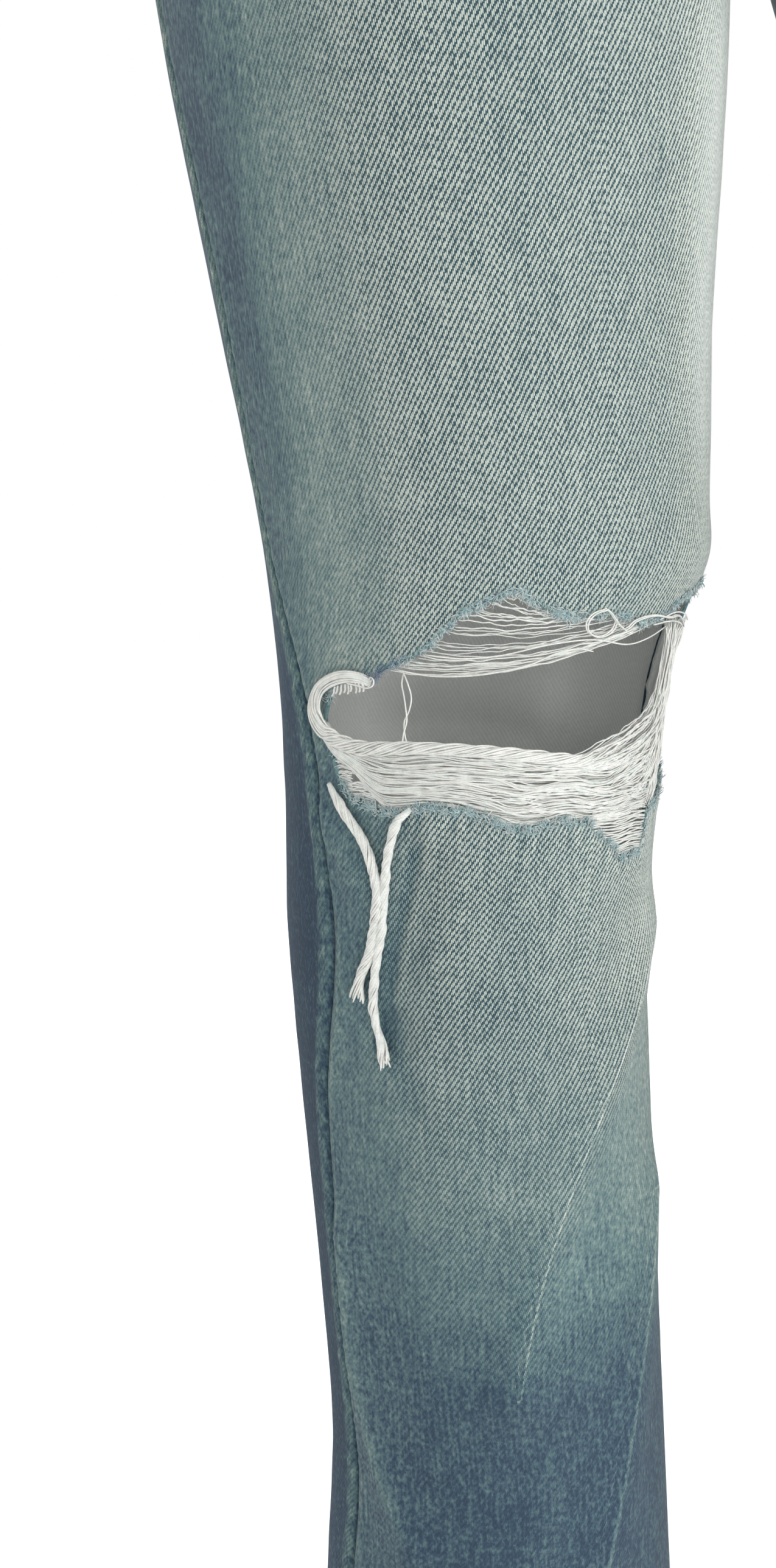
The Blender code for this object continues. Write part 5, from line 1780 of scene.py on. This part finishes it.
# %% [markdown]
# ## Stitching
#
# A line of stitches is many short arches of thread that rise out of the cloth and dip back into it. Thousands
# of them would be slow as objects, so each sheet has one mesh of them. A line is a list of places on the
# sheet's own grid, which keeps it on the cloth however that is folded: the places lie at a set distance from
# an edge, and the stitches are spaced evenly along them. A bar tack or a buttonhole is the same arch, set
# side by side.

# %% Lines of stitches
STITCH_PITCH = 0.0034
STITCH_RADIUS = 0.00028
STITCH_ARCH = ((0.08, -0.0003), (0.26, 0.0002), (0.66, 0.0002),
               (0.84, -0.0003))  # share of the pitch, and lift
BAR_ARCH = ((0.0, -0.0003), (0.2, 0.00035), (0.8, 0.00035), (1.0, -0.0003))
SEAM_ROWS = (0.0015, 0.0078)  # the two rows of a lapped seam, from its edge


def arches(name, row, column, lift):
    """Points on a sheet at grid places, moved out along its normals by the lift of an arch."""
    grid, flip = grids[name]
    return between(grid, row, column) + lift[:, None] * between(normals_of(grid, flip), row, column)


def edge_line(name, edge, distance, share=(0.0, 1.0)):
    """Grid places at a distance inside an edge, found in the run from it.

    share is how far along the edge, from 0 to 1: where the line starts and ends, or one share for each place.
    """
    grid = grids[name][0]
    run = along(grid if edge in "lr" else grid.swapaxes(0, 1), 1)
    places = np.arange(run.shape[1])
    if edge in "rt":
        run, places = (run[:, -1:] - run)[:, ::-1], places[::-1]
    share = np.linspace(*share, 120) if len(share) == 2 else share
    lines = np.clip(share * (len(run) - 1), 0, len(run) - 1.001)
    low = lines.astype(int)
    mixed = run[low] + (lines - low)[:, None] * (run[low + 1] - run[low])
    away = np.broadcast_to(distance, len(lines))
    found = np.array([np.interp(far, one, places) for far, one in zip(away, mixed)])
    return (lines, found) if edge in "lr" else (found, lines)


def stitches(name, line, pitch=STITCH_PITCH):
    """Arches of thread spaced evenly along a line of grid places."""
    even = np.linspace(0, 1, 600)
    row, column = (np.interp(even, np.linspace(0, 1, len(places)), places) for places in line)
    points = between(grids[name][0], row, column)
    length = np.concatenate([[0.0], np.cumsum(np.linalg.norm(np.diff(points, axis=0), axis=-1))])
    count = max(int(length[-1] / pitch), 1)
    share, lift = np.array(STITCH_ARCH).T
    place_on = (np.arange(count)[:, None] + share) * length[-1] / count
    return arches(name, np.interp(place_on, length, row), np.interp(place_on, length, column), lift)


def bars(name, start, end):
    """Arches side by side, each from a grid place to another. start and end hold (row, column) pairs."""
    share, lift = np.array(BAR_ARCH).T
    row, column = np.moveaxis(start[:, None] + share[:, None] * (end - start)[:, None], -1, 0)
    return arches(name, row, column, lift)


# the second colour is the thread's painted shade in its furrows, and its darker patches
TOPSTITCH = cotton("topstitch thread", srgb(206, 194, 164), srgb(168, 152, 118))
stitching = {}


def sew(name, *lines):
    """All of a sheet's stitches as one mesh."""
    paths = np.concatenate(lines)
    stitching[name] = yarn_mesh(f"{name}_stitching", paths, STITCH_RADIUS, 4, finish=TOPSTITCH)


print("stitch pitch", STITCH_PITCH * 1000, "mm")

# %% Seams of the seat, pockets, fly and hems
def pocket_lines(name):
    """Two rows down both sides and round the foot of a patch pocket, and two across its hem."""
    found = []
    for distance in SEAM_ROWS:
        for edge in "lr":
            found.append(stitches(name, edge_line(name, edge, distance, (distance / 0.158, 1.0))))
        inset = distance / 0.112
        found.append(stitches(name, edge_line(name, "b", distance, (inset, 1 - inset))))
    return found + [stitches(name, edge_line(name, "t", distance)) for distance in (0.009, 0.014)]


FLY_WIDTH = 0.038
FLY_LEVELS = (0.2, 0.52)  # from the seat to the waist seam, where the fly's curve ends and starts


def fly_line(name, inset):
    """The fly's stitching: straight down beside the centre seam, then a quarter ellipse in to the seam."""
    rows = grids[name][0].shape[0]
    turn = np.concatenate([np.zeros(40), np.linspace(0, math.pi / 2, 60)])
    low, high = FLY_LEVELS
    level = np.concatenate([np.linspace(1.0, high, 40), high - (high - low) * np.sin(turn[40:])])
    width = (FLY_WIDTH - inset) * np.cos(turn) + 0.0015
    return stitches(name, edge_line(name, "r", width, (rows - 32 + level * 31) / (rows - 1)))


for side, word in SIDES:
    yoke, pocket, front, hem = (f"{part}_{word}" for part in ("yoke", "back_pocket", "front", "hem"))
    sew(yoke, *(stitches(yoke, edge_line(yoke, "b", distance)) for distance in SEAM_ROWS))
    sew(pocket, *pocket_lines(pocket))
    lines = [stitches(front, edge_line(front, "t", distance, (0.0, 0.48))) for distance in SEAM_ROWS]
    if side == LEFT:
        lines += [fly_line(front, inset) for inset in (0.0, 0.0062)]
        lines.append(stitches(front, edge_line(front, "r", SEAM_ROWS[0], (0.74, 0.86))))
    sew(front, *lines)
    around = np.arange(grids[hem][0].shape[1], dtype=float)
    sew(hem, stitches(hem, (np.full(len(around), 2.6), around)))
seat = "back_left"
sew(seat, *(stitches(seat, edge_line(seat, "r", distance, (0.74, 1.0))) for distance in SEAM_ROWS))
print("stitched sheets:", len(stitching))

# %% Waistband, buttonhole and loops
BUTTON_AT = (6.0, -0.02)  # its angle round the waist, and its height
HOLE_LENGTH = 0.019
HOLE_SIDES = (0.0007, 0.0024)  # how far a bar starts and ends from the slit


def buttonhole():
    """Bars set across the buttonhole's slit on both sides and fanned round its ends.

    Each bar leaves a place on the slit in a direction: straight up or down along it, and turning at its ends.
    """
    grid = grids["waistband"][0]
    column = (BUTTON_AT[0] + 360.0 - 1.0) / (360.0 + LAP - 1.0) * (grid.shape[1] - 1)
    middle = np.array(((grid.shape[0] - 1) / 2, column))
    over = np.linalg.norm(between(grid, middle[0], middle[1] + 0.5)
                          - between(grid, middle[0], middle[1] - 0.5))
    up = np.linalg.norm(between(grid, middle[0] + 0.5, middle[1]) - between(grid, middle[0] - 0.5, middle[1]))
    along_slit = np.linspace(-0.5, 0.5, 34) * HOLE_LENGTH
    fan = np.radians(np.linspace(-75, 75, 7))
    place_on = np.concatenate([along_slit, along_slit, np.full(7, HOLE_LENGTH / 2),
                               np.full(7, -HOLE_LENGTH / 2)])
    turn = np.concatenate([np.full(34, math.pi / 2), np.full(34, -math.pi / 2), fan, math.pi - fan])
    ends = []
    for reach in HOLE_SIDES:
        rows, columns = reach * np.sin(turn) / up, (place_on + reach * np.cos(turn)) / over
        ends.append(middle + np.stack([rows, columns], axis=-1))
    return bars("waistband", *ends)


def tack(name, height):
    """A bar tack across a belt loop: short bars side by side, at a share of the loop's height."""
    rows, columns = grids[name][0].shape[:2]
    column = np.linspace(0.08, 0.92, 19) * (columns - 1)
    levels = height, height + 0.035
    return bars(name, *(np.stack([np.full(19, level * (rows - 1)), column], axis=-1) for level in levels))


band = "waistband"
sew(band, *(stitches(band, edge_line(band, edge, 0.002)) for edge in "bt"),
    stitches(band, edge_line(band, "r", 0.002)), buttonhole())
for name in loops:
    sew(name, *(stitches(name, edge_line(name, edge, 0.0024, (0.08, 0.92))) for edge in "lr"),
        *(tack(name, height) for height in (0.04, 0.92)))
print("stitches:", sum(len(piece.data.vertices) // 16 for piece in stitching.values()))

# %% [markdown]
# ## The waist button
#
# A tack button is stamped from sheet metal: a rolled rim, a shallow ring inside it and a low dome. That is a
# turned shape, so a short profile of radius and height is carried round the line that stands on the
# waistband. Its finish is dull metal, darker in patches where it has aged.

# %% Turned button
BUTTON_RADIUS = 0.0085
BUTTON_PROFILE = ((0.04, 0.0), (0.78, 0.0), (0.95, 0.0004), (1.0, 0.001), (1.0, 0.0018), (0.97, 0.0024),
                  (0.91, 0.0027),
                  (0.84, 0.0026), (0.78, 0.0022), (0.72, 0.002), (0.66, 0.0021), (0.6, 0.0024), (0.5, 0.0027),
                  (0.34, 0.0031), (0.18, 0.0033), (0.04, 0.0034))
BUTTON_LIFT = 0.0044
BUTTON_SIDES = 48


def aged_metal():
    """Dull brass: two browns mixed by a soft noise, rougher where it is darker, with fine dents."""
    made, graph, shader = new_material("aged metal", 0.4)
    shader["Metallic"].default_value = 1.0
    where = graph.node("ShaderNodeTexCoord").outputs["Object"]
    cloud = graph.step(graph.noise(where, 260.0, 4.0, 0.6), 0.35, 0.65)
    graph.feed(shader["Base Color"], graph.mix(cloud, (0.24, 0.21, 0.17, 1.0), (0.46, 0.41, 0.34, 1.0)))
    graph.feed(shader["Roughness"], graph.step(cloud, 0.0, 1.0, 0.52, 0.34))
    graph.bump(shader, graph.noise(where, 900.0, 3.0, 0.6), 0.00008, 0.5)
    return made


def make_button():
    """A point of the profile at a turn: centre + radius * (cos * across + sin * up) + height * out."""
    lean = math.atan2(BODY["front"][-2] - BODY["front"][-1], WAIST_TOP - WAIST_SEAM)
    swing = math.radians(-3.0)
    out = np.array((math.cos(lean) * math.sin(swing), -math.cos(lean) * math.cos(swing), math.sin(lean)))
    across = np.array((math.cos(swing), math.sin(swing), 0.0))
    up = np.cross(out, across)
    radius, height = np.array(BUTTON_PROFILE).T * np.array([[BUTTON_RADIUS], [1.0]])
    turn = np.linspace(0, 2 * math.pi, BUTTON_SIDES + 1)[:-1, None]
    flat = radius[:, None, None] * (np.cos(turn) * across + np.sin(turn) * up)
    points = waist_point(*BUTTON_AT, BUTTON_LIFT) + flat + height[:, None, None] * out
    index = np.arange(len(radius) * BUTTON_SIDES).reshape(len(radius), BUTTON_SIDES)
    beside = np.roll(index, -1, axis=1)
    walls = np.stack([index[:-1], beside[:-1], beside[1:], index[1:]], axis=-1).reshape(-1, 4)
    corner = np.arange(1, BUTTON_SIDES - 2, 2)
    order = np.stack([0 * corner, corner, corner + 1, corner + 2], axis=-1)
    faces = np.concatenate([walls, index[0][order[:, ::-1]], index[-1][order]])
    return make_mesh("waist_button_metal", points, faces, (aged_metal(),))


button = make_button()
print("button", BUTTON_RADIUS * 2000, "mm across")

# %% [markdown]
# ## Stage and light
#
# A pale floor stands just under the hems, and soft lamps stand round the legs at a plain level, so a colour
# looks much as it is written. The white ground is the world's own colour as the camera sees it, and adds no
# light.

# %% Stage and light
def make_stage():
    """A pale floor under the legs, and soft lamps around them that are turned to the knees."""
    world = bpy.data.worlds.new("studio")
    bpy.context.scene.world = world
    world.use_nodes = True
    graph = Graph(world.node_tree)
    shader = world.node_tree.nodes["Background"]
    path = graph.node("ShaderNodeLightPath").outputs
    mirrored = graph.maths("MAXIMUM", path["Is Camera Ray"], path["Is Glossy Ray"])
    seen = graph.maths("MAXIMUM", mirrored, path["Is Transmission Ray"])
    graph.feed(shader.inputs["Color"], (1.0, 1.0, 1.0, 1.0))
    graph.feed(shader.inputs["Strength"], graph.add(0.34, graph.times(seen, 0.66)))
    material = bpy.data.materials.new("floor")
    material.use_nodes = True
    floor_graph = Graph(material.node_tree)
    floor_shader = material.node_tree.nodes["Principled BSDF"].inputs
    floor_shader["Base Color"].default_value = (0.86, 0.86, 0.86, 1.0)
    floor_shader["Roughness"].default_value = 0.9
    camera_ray = floor_graph.node("ShaderNodeLightPath").outputs["Is Camera Ray"]
    floor_shader["Emission Color"].default_value = (1.0, 1.0, 1.0, 1.0)
    floor_graph.feed(floor_shader["Emission Strength"], floor_graph.times(camera_ray, 0.75))
    size, level = 6.0, -1.03
    corners = np.array([(-size, -size, level), (size, -size, level), (size, size, level),
                        (-size, size, level)])
    floor = make_mesh("floor", corners, np.array([[0, 1, 2, 3]]), (material,))
    lamps = (("key", (1.76, -1.08, -0.3), 1.3, 29.0), ("fill", (-1.6, -1.15, -0.2), 1.6, 10.0),
             ("front", (0.1, -1.7, -0.5), 1.0, 11.0), ("top", (0.1, -0.3, 1.3), 1.6, 6.0),
             ("back", (-0.7, 1.6, 0.1), 1.6, 16.0))
    for name, place_at, width, power in lamps:
        lamp = bpy.data.objects.new(name, bpy.data.lights.new(name, "AREA"))
        lamp.data.energy = power
        lamp.data.size = width
        lamp.location = place_at
        aim = np.array((-0.05, 0.0, -0.6)) - np.array(place_at)
        tip = math.acos(-aim[2] / np.linalg.norm(aim))
        lamp.rotation_euler = (tip, 0.0, math.atan2(aim[1], aim[0]) - math.pi / 2)
        bpy.context.scene.collection.objects.link(lamp)


make_stage()
bpy.context.scene.view_settings.view_transform = "Standard"

# %% What each piece stands for
for name in ("front_right", "front_left", "back_right", "back_left"):
    place(sheets[name], "denim_faded" if name.startswith("front") else "denim_blue", name)
for side, word in SIDES:
    for part in ("yoke", "back_pocket", "pocket_facing"):
        place(sheets[f"{part}_{word}"], "denim_blue", f"{part}_{word}")
    place(sheets[f"hem_{word}"], "denim_hem", f"hem_{word}")
for name in ("fly_shield", "waistband", *loops):
    place(sheets[name], "denim_blue", name)
yarns = {"threads_rope": rope, "threads_hank": hank, "threads_upper": upper_yarns, "threads_ladder": ladders,
         "threads_side_bundle": side_bundle, "tassel_short": tassel_short, "tassel_long": tassel_long}
fringe = (strays, edge_tufts, edge_fluff)
for node, piece in yarns.items():
    place(piece, "thread", node)
for piece in (*fringe, *stitching.values()):
    place(piece, "thread")
place(button, "button_metal", "waist_button")
print("pieces placed:", len(sheets) + len(yarns) + len(fringe) + len(stitching) + 1)

# %% [markdown]
# ## What each sheet was cut to
#
# Every sheet of cloth is named in a list, with the rectangle that it is cut from, across and along its grain,
# and with what is sewn to it or torn out of it. The rectangle and the pieces are given but not used.

FRONT_CUT, BACK_CUT, YOKE_CUT = (0.31, 1.03), (0.33, 1.0), (0.232, 0.068)
POCKET_CUT, FACING_CUT, SHIELD_CUT, BAND_CUT = (0.128, 0.16), (0.1, 0.174), (0.098, 0.137), (0.826, 0.0385)


declared = []


def cut(name, flat, *others):
    """A sheet's name, added to the declared list. The pieces that go with it are not used."""
    declared.append(name)


cut("front_right", FRONT_CUT, *yarns.values(), *fringe)
cut("front_left", FRONT_CUT)
for side, word in SIDES:
    cut(f"back_{word}", BACK_CUT, sheets[f"hem_{word}"], stitching[f"hem_{word}"])
for side, word in SIDES:
    cut(f"yoke_{word}", YOKE_CUT)
    cut(f"back_pocket_{word}", POCKET_CUT)
    cut(f"pocket_facing_{word}", FACING_CUT)
cut("fly_shield", SHIELD_CUT)
cut("waistband", BAND_CUT, *(sheets[name] for name in loops), *(stitching[name] for name in loops), button)
print("sheets declared:", len(declared))
